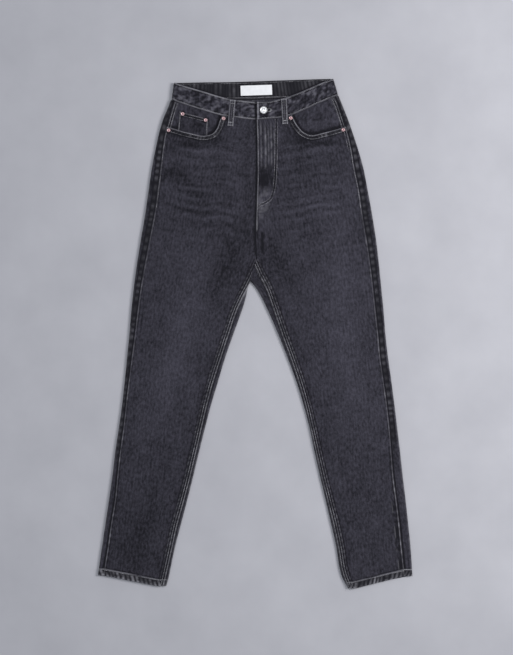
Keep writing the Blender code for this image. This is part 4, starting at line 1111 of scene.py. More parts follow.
def pocket_facing(leg):
    """The facing's grid, with painted shadow along the mouth, and the side seam's worn ladder on it."""
    plan = facing_plan(leg)
    x, y = plan[..., 0], plan[..., 1]
    apart = distance_to(mouths[leg], x, y)[0]
    top = facing_height(leg, x, y) + 0.12 * mottle(x, y, 16.0, 9)
    outward = OUT[leg] * distance_to(side_seam[leg], x, y)[0]
    rub = mottle(x, 0.7 * y, 8.0, 10) + 0.6 * mottle(x, y, 4.0, 12)
    dashes = pucker(y, 8.0, 13)
    # Painted shadow along the mouth, where the front's edge hangs over the facing. The ladder's dark dashes
    # are partly painted shade in the dips.
    fade = 0.05 + 0.4 * rub - 1.5 * (1 - ease(np.abs(apart), 2.0, 9.0)) - rivet_shade(x, y)
    fade -= 1.2 * (1 - dashes) * window(outward, -6.5, -3.0, 0.8) + bell(outward, -1.0, 0.9)
    wear = 0.55 * (bell(outward, -2.3, 0.9) + bell(outward, -7.4, 0.9)) * (0.4 + 0.6 * dashes)
    return [skin(*layer(plan, top, FACING_WALL), plan.copy(), wear, fade)]


for leg in LEGS:
    cloth(f"facing_{leg}", f"pocket_facing_{leg}", pocket_facing(leg))


# %% Coin pocket
def grid_places(height, width, rows, columns):
    """Distance down and across a flat grid at each of its points."""
    return np.meshgrid(np.linspace(0, height, rows), np.linspace(0, width, columns), indexing="ij")


COIN_TOP = np.array([(-155.0, 465.2), (-95.5, 449.6)])
COIN_FOOT = np.array([(-160.0, 415.0), (-97.5, 408.5)])


def coin_pocket(rows=28, columns=32):
    """A patch with a turned top edge, pressed sides and small puckers along them."""
    share = np.linspace(0, 1, rows)[:, None, None]
    top_edge, foot_edge = (between(*ends[:, None], columns - 1) for ends in (COIN_TOP, COIN_FOOT))
    plan = (1 - share) * top_edge + share * foot_edge
    x, y = plan[..., 0], plan[..., 1]
    width = np.linalg.norm(COIN_TOP[1] - COIN_TOP[0])
    down, across = grid_places(50.0, width, rows, columns)
    side = np.minimum(across, width - across)
    waves = pucker(across, 6.0, 151)
    top = facing_height("right", x, y) + GAP + FACING_WALL + 0.35 * (1 - ease(down, 6.5, 9.0))
    top += 0.2 * (waves - 0.5) * window(down, 2.0, 6.0) - 0.3 * (1 - ease(np.minimum(side, down), 0, 1.4))
    wear = 0.4 * bell(down, 0.6, 1.2) * (0.4 + 0.6 * waves) + 0.3 * bell(side, 0.6, 1.2)
    fade = -0.25 + 0.3 * mottle(x, y, 8.0, 11) - rivet_shade(x, y)
    fade -= 0.9 * (1 - waves) * window(down, 2.6, 6.0, 0.8)
    return [skin(*layer(plan, top, FACING_WALL), pairs(across, down), wear, fade)]


cloth("coin_patch", "coin_pocket", coin_pocket())

# %% [markdown]
# ## Waistband
# One folded strip all round, overlapped at the centre front. Its front half dips, its back half shows
# its inside through the opening, and it turns over at both sides. The grid runs once round it.

# %% Stations round the band
BAND_STEP, BAND_ROWS, BAND_TALL = 2.2, 27, 38.0
BAND_WALL, BAND_HEIGHT = 2.2, 6.5
BAND_END_X, UNDERLAP_END_X = 7.4, 38.0
BAND_REST_Z, BAND_UNDER_Z, BAND_OVER_Z = 6.0, 4.3, 6.9


def band_floor(x, leg):
    """Underside of the band's front half. The wearer's right end dips under the left end."""
    if leg == "right":
        return BAND_REST_Z + (BAND_UNDER_Z - BAND_REST_Z) * ease(x, -38.0, -4.0)
    return BAND_OVER_Z + (BAND_REST_Z - BAND_OVER_Z) * ease(x, 40.0, 56.0)


def band_front(xs, leg):
    """Stations along a front half, from the band's top to its foot."""
    top_x = xs * 0.977
    plan = between(pairs(top_x, BAND_TOP["front"](top_x)), pairs(xs, band_foot(xs)), BAND_ROWS - 1)
    return layer(plan, band_floor(xs, leg)[:, None] + BAND_WALL, BAND_WALL)


def band_fold(leg):
    """The band's own half turn at a side, from the top round to the underside."""
    top, foot = np.array(BAND_CORNERS[leg])
    edge = top - foot
    inward = unit(np.array([-OUT[leg] * edge[1], OUT[leg] * edge[0]]))
    places = between(top[None], foot[None], BAND_ROWS - 1)[0]
    halves = round_fold(places, np.tile(inward, (BAND_ROWS, 1)), TURN, LOOP_LIFT, BAND_HEIGHT, BAND_WALL)
    return [half.transpose(1, 0, 2) for half in halves]


def band_back(start, end):
    """The back half on the underside, from the end of one fold to the start of the other."""
    steps = int(np.linalg.norm(end[0] - start[0]) / BAND_STEP)
    share = np.linspace(0, 1, steps + 1)[1:-1]
    top_x, foot_x = (start[i, 0] + share * (end[i, 0] - start[i, 0]) for i in (0, -1))
    foot_ends = (BAND_CORNERS["right"][1][0], 0.0, BAND_CORNERS["left"][1][0])
    foot_y = np.interp(foot_x, foot_ends, BAND_BACK_FOOT)
    plan = between(pairs(top_x, BAND_TOP["back"](top_x)), pairs(foot_x, foot_y), BAND_ROWS - 1)
    return layer(plan, LOOP_LIFT, -BAND_WALL)


def band_grid():
    """Stations right round the band: underlap, right front, right fold, back, left fold, left front."""
    right_x = np.linspace(UNDERLAP_END_X, -164.5, int((UNDERLAP_END_X + 164.5) / BAND_STEP))
    left_x = np.linspace(170.5, BAND_END_X, int((170.5 - BAND_END_X) / BAND_STEP))
    right_fold, left_fold = band_fold("right"), [half[::-1] for half in band_fold("left")]
    back = band_back(right_fold[0][-1], left_fold[0][0])
    parts = (band_front(right_x, "right"), right_fold, back, left_fold, band_front(left_x, "left"))
    return [np.concatenate(halves) for halves in zip(*parts)]


band_outer, band_inner = band_grid()
band_run = path_length(band_outer[:, BAND_ROWS // 2, :2])
print("waistband, mm round:", round(float(band_run[-1])))


# %% Outside and inside of the band
def band_dress(along, below):
    """Relief, wear and fade of the outside: rolled edges, a groove inside each darkened with painted shade,
    and crumples all over.
    """
    above = BAND_TALL - below
    edge = np.minimum(below, above)
    small = pucker(along, 6.0, 171)
    slant = np.radians(28)
    u = (along * np.cos(slant) + below * np.sin(slant)) / 1.8
    v = below * np.cos(slant) - along * np.sin(slant)
    hollows = mottle(u, v, 4.3, 161) + 0.7 * mottle(u, v, 2.4, 163)
    inland = window(edge, 2.6, 30.0, 1.2)
    line = 0.6 + 0.4 * wander(along, 15.0, 165)
    relief = -0.55 * (1 - ease(edge, 0.0, 2.0)) - 0.3 * bell(edge, 4.0, 0.9)
    relief += 0.4 * hollows * inland + 0.2 * (small - 0.5) * window(edge, 2.0, 8.0)
    wear = 0.8 * bell(below, 1.3, 0.95) * line + 0.6 * bell(above, 1.4, 0.95) * line
    wear += 0.16 * ease(hollows, 0.1, 0.9) * inland
    # The dark in the groove inside each rolled edge is painted shade.
    fade = 0.75 * hollows * inland - 0.9 * bell(edge, 4.0, 1.0) * (1 - 0.6 * small) - 0.1
    return relief, wear, fade


def lining_dress(along, below, x, y):
    """Wear and fade of the inside, which shows at the back: darker, drawn up in fine upright streaks, with
    painted shade just above the front's top edge.
    """
    streaks = pucker(along, 7.6, 175) * (0.5 + 0.5 * wander(along, 17.0, 176))
    streaks = streaks * (0.65 + 0.35 * mottle(along, below, 9.0, 177)) * window(below, 2.0, 33.0, 3.0)
    deep = ease(x, 20.0, 60.0)
    wear = (0.55 - 0.28 * deep) * streaks
    wear += 0.4 * bell(BAND_TALL - below, 3.6, 1.0) * (0.4 + 0.6 * pucker(along, 6.0, 178))
    under_front = y - BAND_TOP["front"](x)
    # Painted shade just above the front's top edge, which hangs over the inside of the band.
    fade = -1.1 - 1.1 * deep + 0.5 * streaks - 0.9 * bell(under_front, 0.0, 4.5) - 0.9 * bell(below, 0.0, 1.8)
    return wear * (1 - bell(under_front, 0.0, 3.5)), fade


def waistband():
    """The band's grid, with its relief pushed out of the wall, and painted shadow on the underlapping end
    beside the overlapping one.
    """
    along, below = np.meshgrid(band_run, np.linspace(0, BAND_TALL, BAND_ROWS), indexing="ij")
    relief, wear, fade = band_dress(along, below)
    outer = band_outer + relief[..., None] * unit(band_outer - band_inner)
    outer[..., 2] = np.maximum(outer[..., 2], LOOP_LIFT - 0.3)
    # Painted shadow on the underlapping end, beside the overlapping end's edge.
    overlap_shadow = bell(outer[..., 0], BAND_END_X - 2.4, 2.4) * (along < 0.3 * band_run[-1])
    end_rim = bell(outer[..., 0], BAND_END_X + 1.6, 1.1) * (along > 0.7 * band_run[-1])
    wear, fade = wear * (1 - overlap_shadow) + 0.7 * end_rim, fade - 2.0 * overlap_shadow
    values = (wear, fade, *lining_dress(along, below, band_inner[..., 0], band_inner[..., 1]))
    limits = ((0, 1), (DEEPEST_PAINTED_SHADE, 1)) * 2
    held = [np.clip(value, *ends) for value, ends in zip(values, limits)]
    return [skin(outer, band_inner, pairs(along, below), *held)]


cloth("band", "waistband", waistband())

# %% [markdown]
# ## Back pockets, belt loops and label
# The back pockets lie on the underside. The loops are strips with folded edges, tacked at both ends.
# The label is a plain woven white strip.

# %% Back pockets
def back_pocket(leg):
    """A five-sided patch with pressed edges, resting on the floor."""
    down, across = np.meshgrid(np.linspace(0, 1, 60), np.linspace(-1, 1, 61), indexing="ij")
    x = POCKET_X[leg] + across * (POCKET_TOP_WIDTH + down * (POCKET_FOOT_WIDTH - POCKET_TOP_WIDTH)) / 2
    y = POCKET_TOP_Y - down * (POCKET_HEIGHT + POCKET_POINT * (1 - np.abs(across)))
    edge = -outside_pocket(leg, x, y)
    waves = pucker(x + y, 7.0, 191)
    low = 0.35 * (1 - ease(edge, 0.0, 1.5)) + 0.12 * waves * window(edge, 2.0, 7.0)
    low += 0.2 * bumps(UNDER_CREASES, x, y)
    wear = 0.5 * bell(edge, 0.8, 1.2) * (0.4 + 0.6 * waves)
    fade = 0.2 + 0.15 * mottle(x, y, 20.0, 12)
    plan = pairs(x, y)
    return [skin(raised(plan, low), raised(plan, POCKET_WALL), plan, wear, fade)]


for leg in LEGS:
    cloth(f"seat_pocket_{leg}", f"back_pocket_{leg}", back_pocket(leg))


# %% Belt loops
LOOP_WIDTH, LOOP_WALL = 12.0, 1.2
LOOP_FRONT = {"front_right": ((-43.5, 489.0), (-48.5, 434.5)), "front_left": ((63.5, 491.5), (66.5, 438.5))}
LOOP_FRONT_Z, LOOP_BACK_Z = (8.55, 8.1), (0.0, 0.0)
LOOP_BACK_Y = (527.0, 473.0)
LOOP_BACK = {name: [(x, y) for y in LOOP_BACK_Y]
             for name, x in (("back_right", -96.0), ("back_centre", 0.0), ("back_left", 101.0))}


def strip_plan(top, foot, width, rows, columns):
    """Plan of a flat strip of even width between two points."""
    run = foot - top
    side = unit(np.array([-run[1], run[0]])) * width / 2
    share = np.linspace(0, 1, rows)[:, None, None]
    return top + share * run + np.linspace(-1, 1, columns)[None, :, None] * side


def belt_loop(name, top, foot, floors, facing_up):
    """A strip with two raised folded edges, thicker where its ends turn under."""
    top, foot = np.array(top), np.array(foot)
    plan = strip_plan(top, foot, LOOP_WIDTH, 30, 15)
    length = np.linalg.norm(foot - top)
    down, across = grid_places(length, LOOP_WIDTH, 30, 15)
    across = across - LOOP_WIDTH / 2
    edge, ends = LOOP_WIDTH / 2 - np.abs(across), np.minimum(down, length - down)
    waves = pucker(down, 6.0, 201 + len(name))
    relief = 0.25 * bell(edge, 1.6, 1.2) - 0.35 * (1 - ease(np.minimum(edge, ends), 0.0, 1.0))
    relief += 0.18 * (waves - 0.5) * window(edge, 1.0, 5.0) + 0.3 * (1 - ease(ends, 4.0, 7.0))
    base = floors[0] + down / length * (floors[1] - floors[0])
    wear = 0.7 * bell(edge, 0.9, 0.9) * (0.6 + 0.4 * waves) + 0.6 * bell(ends, 1.2, 1.2)
    wear += 0.3 * bell(across, 0.0, 0.9) * (0.4 + 0.6 * waves)
    fade = 0.15 + 0.3 * (waves - 0.5) - 0.9 * bell(np.abs(across), 1.9, 0.8) * (1 - 0.5 * waves)
    outer_z, inner_z = (base + LOOP_WALL + relief, base) if facing_up else (
        np.maximum(base + 0.3 - relief, 0.0), base + LOOP_WALL)
    skins = [skin(raised(plan, outer_z), raised(plan, inner_z), pairs(across, down), wear, fade)]
    cloth(f"loop_{name}", f"belt_loop_{name}", skins)


for loop_name, loop_ends in (LOOP_FRONT | LOOP_BACK).items():
    facing_up = loop_name in LOOP_FRONT
    belt_loop(loop_name, *loop_ends, LOOP_FRONT_Z if facing_up else LOOP_BACK_Z, facing_up)


# %% Label and zip tape
def plain_cloth(name, colour, roughness, sheen):
    """Fine plain weave: two sets of thin ridges that cross."""
    new, tree, surface = principled(name, roughness, sheen=sheen)
    grain = grain_map(tree)
    ridges = (add_math(tree, "SINE", add_vector_math(tree, "DOT_PRODUCT", grain, axis)["Value"])
              for axis in ((9000.0, 0.0, 0.0), (0.0, 12000.0, 0.0)))
    add_bump(tree, surface, add_math(tree, "ADD", *ridges), 0.00005, 0.5)
    cloudy = spread(tree, add_noise(tree, grain, (90.0, 90.0, 1.0)), 0.3, 0.7)
    dim = tuple(0.9 * c for c in colour[:3]) + (1,)
    tree.links.new(mix_colours(tree, cloudy, dim, colour), surface["Base Color"])
    return new


label_cloth = plain_cloth("woven_white", (0.86, 0.87, 0.9, 1), 0.55, 0.2)
tape_cloth = plain_cloth("zip_tape_black", (0.02, 0.02, 0.024, 1), 0.85, 0.1)
LABEL_CENTRE, LABEL_SIZE, LABEL_TURN = np.array([6.0, 510.0]), (66.0, 21.0, 0.6), np.radians(1.8)
TAPE_WALL = 0.8


def label():
    """A bare white strip, sewn flat along its ends, with a slight bow between them."""
    width, tall, wall = LABEL_SIZE
    half = np.array([np.cos(LABEL_TURN), np.sin(LABEL_TURN)]) * width / 2
    plan = strip_plan(LABEL_CENTRE - half, LABEL_CENTRE + half, tall, 46, 16)
    down, across = grid_places(width, tall, 46, 16)
    bow = 0.25 * ease(np.minimum(down, width - down), 2.0, 12.0) + 0.1 * wander(down, 11.0, 211)
    top = LOOP_LIFT + BAND_WALL + GAP + wall + bow
    return [skin(*layer(plan, top, wall), pairs(across, down), 0 * down, 0 * down)]


def zip_tape():
    """The closed zip's tape, hidden behind the fly."""
    low, high = (np.array(corner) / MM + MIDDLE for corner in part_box("fly_zip"))
    ys = np.linspace(high[1], low[1], 60)
    plan = between(pairs(low[0], ys), pairs(high[0], ys), 10)
    top = lift(plan[..., 1]) + low[2] + TAPE_WALL
    return [skin(*layer(plan, top, TAPE_WALL), plan, 0 * top, 0 * top)]


cloth("label_strip", "label", label(), label_cloth)
cloth("zip_tapes", "fly_zip", zip_tape(), tape_cloth)

# %% [markdown]
# ## Stitches
# Jeans are sewn with thick thread, in rows that show. A stitch is a short spindle that dips into the
# cloth at both ends. Thousands of them are laid out at once along the seam lines, as one mesh for
# each piece of cloth: an array modifier along a curve would need one object for every row.

# %% One stitch, many times
THREAD, PITCH, STITCH_SIDES = 0.75, 3.3, 5
STITCH_RINGS = np.array([-1.0, -0.6, 0.6, 1.0])
STITCH_RISE = np.array([-0.35, 0.2, 0.2, -0.35])
STITCH_GIRTH = np.array([0.3, 1.0, 1.0, 0.3])
CLOSE = {"pitch": 0.62, "span": 2.0, "crosswise": True}


def spindles(centre, ahead, up, span):
    """Points of straight stitches: rings of a five-sided thread along each, sunk in at both ends."""
    side = np.cross(ahead, up)
    turn = 2 * np.pi * (np.arange(STITCH_SIDES) + 0.5) / STITCH_SIDES
    middle = centre[:, None] + ahead[:, None] * (STITCH_RINGS * span / 2)[:, None]
    middle = middle + up[:, None] * (STITCH_RISE * THREAD)[:, None]
    ring = np.cos(turn)[:, None] * side[:, None] + 0.85 * np.sin(turn)[:, None] * up[:, None]
    girth = (STITCH_GIRTH * THREAD / 2)[:, None, None]
    return (middle[:, :, None] + girth * ring[:, None]).reshape(-1, 3)


def stitch_faces():
    """Triangles of one stitch: the walls between its rings and a fan over each end."""
    rings = len(STITCH_RINGS)
    index = np.arange(rings * STITCH_SIDES).reshape(rings, STITCH_SIDES)
    after = np.roll(index, -1, axis=1)
    walls = np.stack([index[:-1], index[1:], after[1:], after[:-1]], axis=-1).reshape(-1, 4)
    fan = np.array([(0, i, i + 1) for i in range(1, STITCH_SIDES - 1)])
    far_fan = fan[:, ::-1] + (rings - 1) * STITCH_SIDES
    return np.concatenate([walls[:, [0, 1, 2]], walls[:, [0, 2, 3]], fan, far_fan])


def row_of_stitches(line, ups, pitch=PITCH, span=0.84 * PITCH, crosswise=False):
    """Stitches at even pitch along a line on the cloth, or lying across it as in a tack or a buttonhole."""
    length = path_length(line)
    count = max(1, int(length[-1] / pitch))
    at = (np.arange(count) + 0.5) * length[-1] / count
    centre, up, ahead = (np.stack([np.interp(at, length, column) for column in values.T], axis=1)
                         for values in (line, ups, np.gradient(line, axis=0)))
    up, ahead = unit(up), unit(ahead)
    return spindles(centre, np.cross(ahead, up) if crosswise else ahead, up, span)


# %% Thread
def thread_material():
    """Grey cotton thread, paler where it has rubbed, with its twist as a fine bump."""
    new, tree, surface = principled("grey_thread", 0.8, sheen=0.15)
    place_on = object_place(tree)
    rubbed = spread(tree, add_noise(tree, place_on, 75.0, 3.0, 0.6), 0.4, 0.62)
    colour = mix_colours(tree, rubbed, (0.06, 0.06, 0.068, 1), (0.42, 0.415, 0.45, 1))
    tree.links.new(colour, surface["Base Color"])
    add_bump(tree, surface, add_noise(tree, place_on, 2500.0, 1.0, 0.5), 0.0001, 0.5)
    return new


thread_grey = thread_material()
threads = {}


def sew(name, rows):
    """All the stitches of one piece of cloth as one mesh, on the same body as the cloth."""
    points = np.concatenate(rows)
    points[:, 2] = np.maximum(points[:, 2], 0.0)
    each = len(STITCH_RINGS) * STITCH_SIDES
    faces = (stitch_faces()[None] + each * np.arange(len(points) // each)[:, None, None]).reshape(-1, 3)
    if signed_volume(points, faces) < 0:
        faces = faces[:, ::-1]
    mesh = fill_mesh("stitches_" + name, points, faces)
    mesh.shade_smooth()
    threads[name] = place("stitches_" + name, mesh, thread_grey)


# %% Rows laid on the cloth
def flat_row(line, height, up=1.0, **how):
    """A row along a line in plan at a height, on a side of the cloth that faces up or down."""
    return row_of_stitches(raised(line, height), np.tile([0.0, 0.0, up], (len(line), 1)), **how)


def on_top(leg, line, shown=slice(None)):
    line = line[shown]
    return flat_row(line, leg_top(leg, *line.T)[0])


def beneath(leg, line):
    return flat_row(line, leg_under(leg, *line.T)[0], -1.0)


def on_grid(grid, row=slice(None), column=slice(None), inside=False, kept=slice(None), **how):
    """A row along one row or one column of a piece's own grid, on its outer or its inner skin."""
    outer, inner = (grid[field][row, column][kept] for field in ("outer", "inner"))
    face, other = (inner, outer) if inside else (outer, inner)
    return row_of_stitches(face, unit(face - other), **how)


def hem_row(grid, apart=13.4):
    """Stitches along the row of a leg's grid that lies a given distance above its last one."""
    edge = grid["outer"][:, 2]
    return on_grid(grid, int(np.argmin(np.abs(np.linalg.norm(edge - edge[-1], axis=1) - apart))))


def down_to(line, top, foot):
    return (line[:, 1] < top) & (line[:, 1] > foot)


# %% Rows of the legs
for leg in LEGS:
    out, seam = OUT[leg], side_seam[leg]
    down_side = beside(seam, -out * 1.9)
    rows = [on_top(leg, beside(mouths[leg], -out * offset)) for offset in (1.9, 8.2)]
    rows += [on_top(leg, down_side, down_to(down_side, 424, 262)), hem_row(surfaces[f"front_{leg}"][0])]
    if leg == "left":
        second, edge_row = beside(seam, -out * 6.4), beside(centre_line, 2.2)
        rows.append(on_top(leg, second, down_to(second, 424, 380)))
        for curve in (beside(fly_line, 0.0), beside(fly_line, -5.0)):
            rows.append(on_top(leg, curve, curve[:, 0] > 9.5))
        rows.append(on_top(leg, edge_row, down_to(edge_row, 445, LINE_END_Y)))
    sew(f"front_{leg}", rows)
    rows = []
    for offset in (FELL_MIDDLE, FELL - 0.8):
        fell_row = beside(inseam[leg], -out * offset)
        clear = (out * (fell_row[:, 0] - centre_back_on_top(fell_row[:, 1])) > 1.0) & (fell_row[:, 1] < 150.0)
        rows.append(on_top(leg, fell_row, clear | (fell_row[:, 1] < NOTCH[1] - 8)))
    rows += [hem_row(grid) for grid in surfaces[f"back_{leg}"][:2]]
    ys = np.linspace(YOKE_SEAM_CENTRE - 2, 118.0, 90)
    if leg == "left":
        rows += [beneath(leg, pairs(centre_back(ys) + offset, ys)) for offset in (1.7, 7.9)]
    sew(f"back_{leg}", rows)
    xs = out * np.linspace(4.0, 176.0, 60)
    rise = YOKE_SEAM_CENTRE + (YOKE_SEAM_SIDE - YOKE_SEAM_CENTRE) / 200.0 * np.abs(xs)
    sew(f"yoke_{leg}", [beneath(leg, pairs(xs, rise + offset)) for offset in (1.7, 7.9)])
    rows = []
    for offset in (2.4, 6.9):
        line = beside(seam, -out * offset)
        line = line[down_to(line, BAND_CORNERS[leg][1][1] - 8, POCKET_SIDE_Y + 3)]
        rows.append(flat_row(line, facing_height(leg, *line.T) + 0.12 * mottle(*line.T, 16.0, 9)))
    sew(f"facing_{leg}", rows)

# %% Rows of the band, the loops and the pockets
band = surfaces["band"][0]
shown = (np.abs(band_inner[:, 0, 0]) < 160) & (band_inner[:, 0, 2] < LOOP_LIFT + BAND_WALL + 0.1)
sew("band", [on_grid(band, column=i) for i in (2, BAND_ROWS - 3)]
    + [on_grid(band, column=i, inside=True, kept=shown) for i in (2, BAND_ROWS - 4)])
for name in [*LOOP_FRONT, *LOOP_BACK]:
    grid = surfaces[f"loop_{name}"][0]
    sew(f"loop_{name}", [on_grid(grid, column=i) for i in (3, 11)]
        + [on_grid(grid, end, kept=slice(1, -1), **CLOSE) for end in (4, -5)])
for name, grid_rows, grid_columns in [("coin_patch", (1, 4), (1, -2))] + [
        (f"seat_pocket_{leg}", (4, 6, -2, -5), (1, 4, -2, -5)) for leg in LEGS]:
    grid = surfaces[name][0]
    sew(name, [on_grid(grid, i) for i in grid_rows] + [on_grid(grid, column=i) for i in grid_columns])

# %% Buttonhole
HOLE_FROM_X, HOLE_TO_X, HOLE_Y, HOLE_HALF_HEIGHT = 10.5, 36.5, 468.0, 2.6


def buttonhole():
    """Keyhole: a long loop of close stitches laid across its own line, on the band's overlapping end."""
    turn = np.radians(np.linspace(0, 360, 73))
    across, up = np.cos(turn), np.sin(turn)
    middle, half = (HOLE_FROM_X + HOLE_TO_X) / 2, (HOLE_TO_X - HOLE_FROM_X) / 2
    x = middle + np.sign(across) * half * np.abs(across) ** 0.5
    tall = HOLE_HALF_HEIGHT * (1 + 0.5 * ease(x, HOLE_TO_X - 8.0, HOLE_TO_X - 2.0))
    y = HOLE_Y + tall * np.sign(up) * np.abs(up) ** 0.7
    return flat_row(pairs(x, y), BAND_OVER_Z + BAND_WALL + 0.1, pitch=0.75, span=3.0, crosswise=True)


sew("buttonhole", [buttonhole()])
print("stitches, triangles:", sum(len(o.data.polygons) for o in threads.values()))

# %% [markdown]
# ## Button and rivets
# Both are turned pieces: a profile of radius and height is spun once round. The button is bright
# nickel with a rolled rim and a sunk middle. The rivets are copper coloured, with a ring and a nub.

# %% Metal finishes
def metal(name, bright, dull, roughness):
    """Worn metal: fine scratches and dull patches change its colour and its shine."""
    new, tree, surface = principled(name, roughness, 1.0)
    place_on = object_place(tree)
    patches = spread(tree, add_noise(tree, place_on, 700.0, 3.0, 0.6), 0.35, 0.7)
    rubbed = mix_colours(tree, patches, bright, dull)
    # A mask on each piece mixes in a dark copy of the dull colour: painted shade on the rims, and the rivets'
    # dark middle dot.
    colour = mix_colours(tree, own_value(tree, "dark_dot_and_rim_shade"), rubbed, [0.12 * part for part in dull[:3]] + [1])
    tree.links.new(colour, surface["Base Color"])
    tree.links.new(spread(tree, patches, 0.0, 1.0, roughness, roughness + 0.18), surface["Roughness"])
    add_bump(tree, surface, add_noise(tree, place_on, (2600.0, 900.0, 900.0), 2.0, 0.6), 0.00004, 0.35)
    return new


nickel = metal("bright_nickel", (0.78, 0.78, 0.79, 1), (0.5, 0.5, 0.52, 1), 0.26)
copper = metal("rose_copper", (0.82, 0.6, 0.625, 1), (0.36, 0.2, 0.21, 1), 0.3)
# Painted shade on the rim, and the rivets' dark middle dot, by distance from the middle
BUTTON_RIM_SHADE = [(0.0, 0.0), (6.9, 0.0), (7.7, 0.95)]
RIVET_DOT_AND_RIM_SHADE = [(0.0, 0.85), (0.7, 0.7), (1.3, 0.1), (2.9, 0.0), (3.7, 0.9)]


# %% Turned pieces
def turned(name, node, profile, centre, material, dark_dot_and_rim_shade, steps=48):
    """A profile of radius and height, from the rim's foot to the middle of the top, spun once round."""
    profile = evenly(profile, count=5 * len(profile))
    floor = float(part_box(node)[0].z) / MM
    angles = np.arange(steps) * 2 * np.pi / steps
    radius, height = profile[:, :1], floor + profile[:, 1:] + 0 * angles
    x, y = centre[0] + radius * np.cos(angles), centre[1] + radius * np.sin(angles)
    rings = np.stack([x, y, height], axis=2)
    points = np.concatenate([rings.reshape(-1, 3), [[*centre, height[-1, 0]], [*centre, height[0, 0]]]])
    index = np.arange(len(profile) * steps).reshape(len(profile), steps)
    following = np.roll(index, -1, axis=1)
    walls = np.stack([index[:-1], following[:-1], following[1:], index[1:]], axis=-1).reshape(-1, 4)
    top, foot = np.full(steps, len(points) - 2), np.full(steps, len(points) - 1)
    caps = np.stack([index[-1], following[-1], top], axis=1), np.stack([following[0], index[0], foot], axis=1)
    mesh = fill_mesh(name, points, np.concatenate([walls[:, [0, 1, 2]], walls[:, [0, 2, 3]], *caps]))
    apart = np.hypot(points[:, 0] - centre[0], points[:, 1] - centre[1])
    put_values(mesh, "dark_dot_and_rim_shade", np.interp(apart, *np.array(dark_dot_and_rim_shade).T))
    mesh.shade_smooth()
    mesh.set_sharp_from_angle(angle=np.radians(50))
    made[name] = place(name, mesh, material)
    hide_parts(node)


# %% Button and rivets
BUTTON_PROFILE = [
    (6.6, 0.0), (7.6, 0.25), (8.3, 0.8), (8.4, 1.5), (8.0, 2.2), (7.2, 2.5), (6.5, 2.35),
    (6.1, 1.95), (5.2, 1.85), (3.6, 1.95), (3.2, 2.15), (2.4, 2.3), (1.0, 2.35), (0.15, 2.35),
]
RIVET_PROFILE = [
    (3.9, 0.0), (4.15, 0.3), (3.95, 0.75), (3.3, 1.0), (2.7, 0.95), (2.1, 0.65), (1.7, 0.6),
    (1.45, 0.8), (1.2, 1.3), (0.7, 1.5), (0.1, 1.5),
]
turned("shank_button", "button", BUTTON_PROFILE, (21.2, 467.5), nickel, BUTTON_RIM_SHADE, 64)
for node, rivet_centre in RIVETS.items():
    turned(f"{node}_cap", node, RIVET_PROFILE, rivet_centre, copper, RIVET_DOT_AND_RIM_SHADE)

# %% [markdown]
# ## Floor, light and camera
# The jeans are seen from straight above. One large soft light comes from the right, a little from
# above, so that the folded left edges throw a soft shadow, and an even sky fills the rest.

# %% Camera
PHOTO = (513, 655)
MM_PER_PIXEL = 2.1
TABLE_ZERO = (253.5, 333.0)
LENS, SENSOR = 80.0, 36.0
view_height = PHOTO[1] * MM_PER_PIXEL * MM
from_zero = np.array([PHOTO[0] / 2 - TABLE_ZERO[0], TABLE_ZERO[1] - PHOTO[1] / 2])
aim = (from_zero * MM_PER_PIXEL - MIDDLE[:2]) * MM
camera_data = bpy.data.cameras.new("camera")
camera_data.lens, camera_data.sensor_width = LENS, SENSOR
camera = bpy.data.objects.new("camera", camera_data)
camera.location = (*aim, STACK * MM + view_height * LENS / SENSOR)
bpy.context.scene.collection.objects.link(camera)
bpy.context.scene.camera = camera
print("camera height, m:", round(camera.location.z, 3))


# %% Floor
def floor_material():
    """Plain pale stone grey, a little uneven."""
    new, tree, surface = principled("pale_floor", 0.85)
    surface["Specular IOR Level"].default_value = 0.2
    cloudy = spread(tree, add_noise(tree, object_place(tree), 7.0, 4.0, 0.55), 0.3, 0.7)
    colour = mix_colours(tree, cloudy, (0.42, 0.422, 0.46, 1), (0.47, 0.472, 0.512, 1))
    tree.links.new(colour, surface["Base Color"])
    return new


FLOOR_HALF = 4.0
floor_mesh = bpy.data.meshes.new("floor")
floor_corners = [(x * FLOOR_HALF, y * FLOOR_HALF, 0) for x, y in ((-1, -1), (1, -1), (1, 1), (-1, 1))]
floor_mesh.from_pydata(floor_corners, [], [(0, 1, 2, 3)])
floor_mesh.materials.append(floor_material())
floor = bpy.data.objects.new("floor", floor_mesh)
floor.location.z = -0.0002
bpy.context.scene.collection.objects.link(floor)


# %% Lights
def area_light(name, place_at, size, power, colour):
    """A square soft light that faces the middle of the jeans."""
    data = bpy.data.lights.new(name, "AREA")
    data.size, data.energy, data.color = size, power, colour
    light = bpy.data.objects.new(name, data)
    light.location = place_at
    x, y, z = place_at
    light.rotation_euler = (np.arctan2(np.hypot(x, y), z), 0, np.arctan2(x, -y))
    bpy.context.scene.collection.objects.link(light)


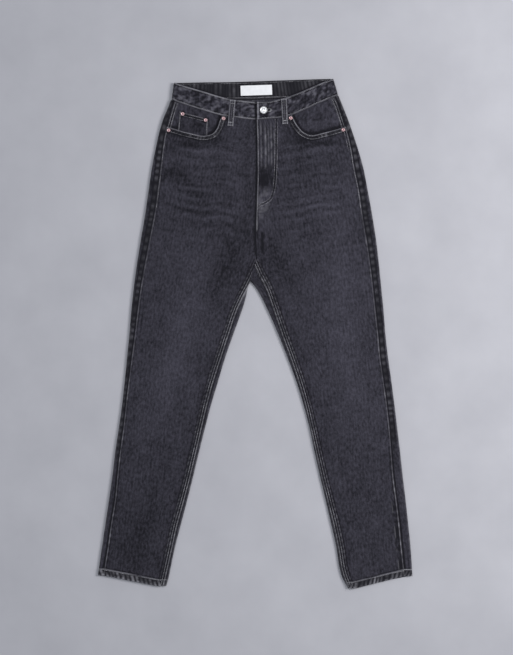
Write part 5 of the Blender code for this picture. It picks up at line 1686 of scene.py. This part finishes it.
area_light("window", (2.05, 0.35, 1.75), 1.0, 57.0, (1.0, 0.985, 0.97))
area_light("overhead", (-0.4, 0.6, 3.6), 2.4, 30.0, (0.97, 0.98, 1.0))
world = bpy.data.worlds.new("studio")
world.use_nodes = True
sky = world.node_tree.nodes["Background"].inputs
sky["Color"].default_value = (0.9, 0.94, 1.0, 1)
sky["Strength"].default_value = 0.4
bpy.context.scene.world = world
bpy.context.scene.view_settings.view_transform = "Standard"

# %% [markdown]
# ## The cut of each piece
# Each piece of cloth is listed with the size that it was cut to, before it was sewn and laid out, and its
# made area is printed beside the cut area.

# %% Cut sizes: pieces, width and length in metres, share of that rectangle, and what they rest on
CUTS = [
    ("front_right", 0.26, 0.99, 0.62, "back_right"), ("front_left", 0.26, 0.99, 0.62, "back_left"),
    ("back_right back_left", 0.33, 0.96, 0.68, "floor"),
    ("yoke_cloth_right yoke_cloth_left", 0.235, 0.085, 0.52, "floor"),
    ("facing_right", 0.15, 0.09, 0.6, "back_right"), ("facing_left", 0.15, 0.09, 0.6, "back_left"),
    ("coin_patch", 0.064, 0.05, 0.95, "facing_right"),
    ("band", 0.74, 0.038, 1.0, "floor"),
    ("seat_pocket_right seat_pocket_left", 0.141, 0.158, 0.86, "floor"),
    ("loop_front_right loop_front_left", 0.0122, 0.056, 1.0, "band"),
    ("loop_back_right loop_back_centre loop_back_left", 0.0122, 0.056, 1.0, "floor"),
    ("label_strip", 0.066, 0.022, 1.0, "band"),
    ("zip_tapes", 0.03, 0.207, 1.0, "back_right"),
]


def cloth_area(piece):
    """Half the surface of a closed shell, in square metres."""
    areas = np.zeros(len(piece.data.polygons))
    piece.data.polygons.foreach_get("area", areas)
    return float(areas.sum()) / 2


for names, width, length, share, under in CUTS:
    for name in names.split():
        flat_area = width * length * share
        print(f"{name}: made {cloth_area(made[name]):.4f} m2, cut {flat_area:.4f} m2")

# %% Sizes, then the table of pieces
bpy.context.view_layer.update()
pieces = (*made.values(), *threads.values())
triangles = {piece.name: len(piece.data.loops) - 2 * len(piece.data.polygons) for piece in pieces}
print("pieces:", len(triangles), "triangles:", sum(triangles.values()))
print("largest:", max(triangles, key=triangles.get), max(triangles.values()))
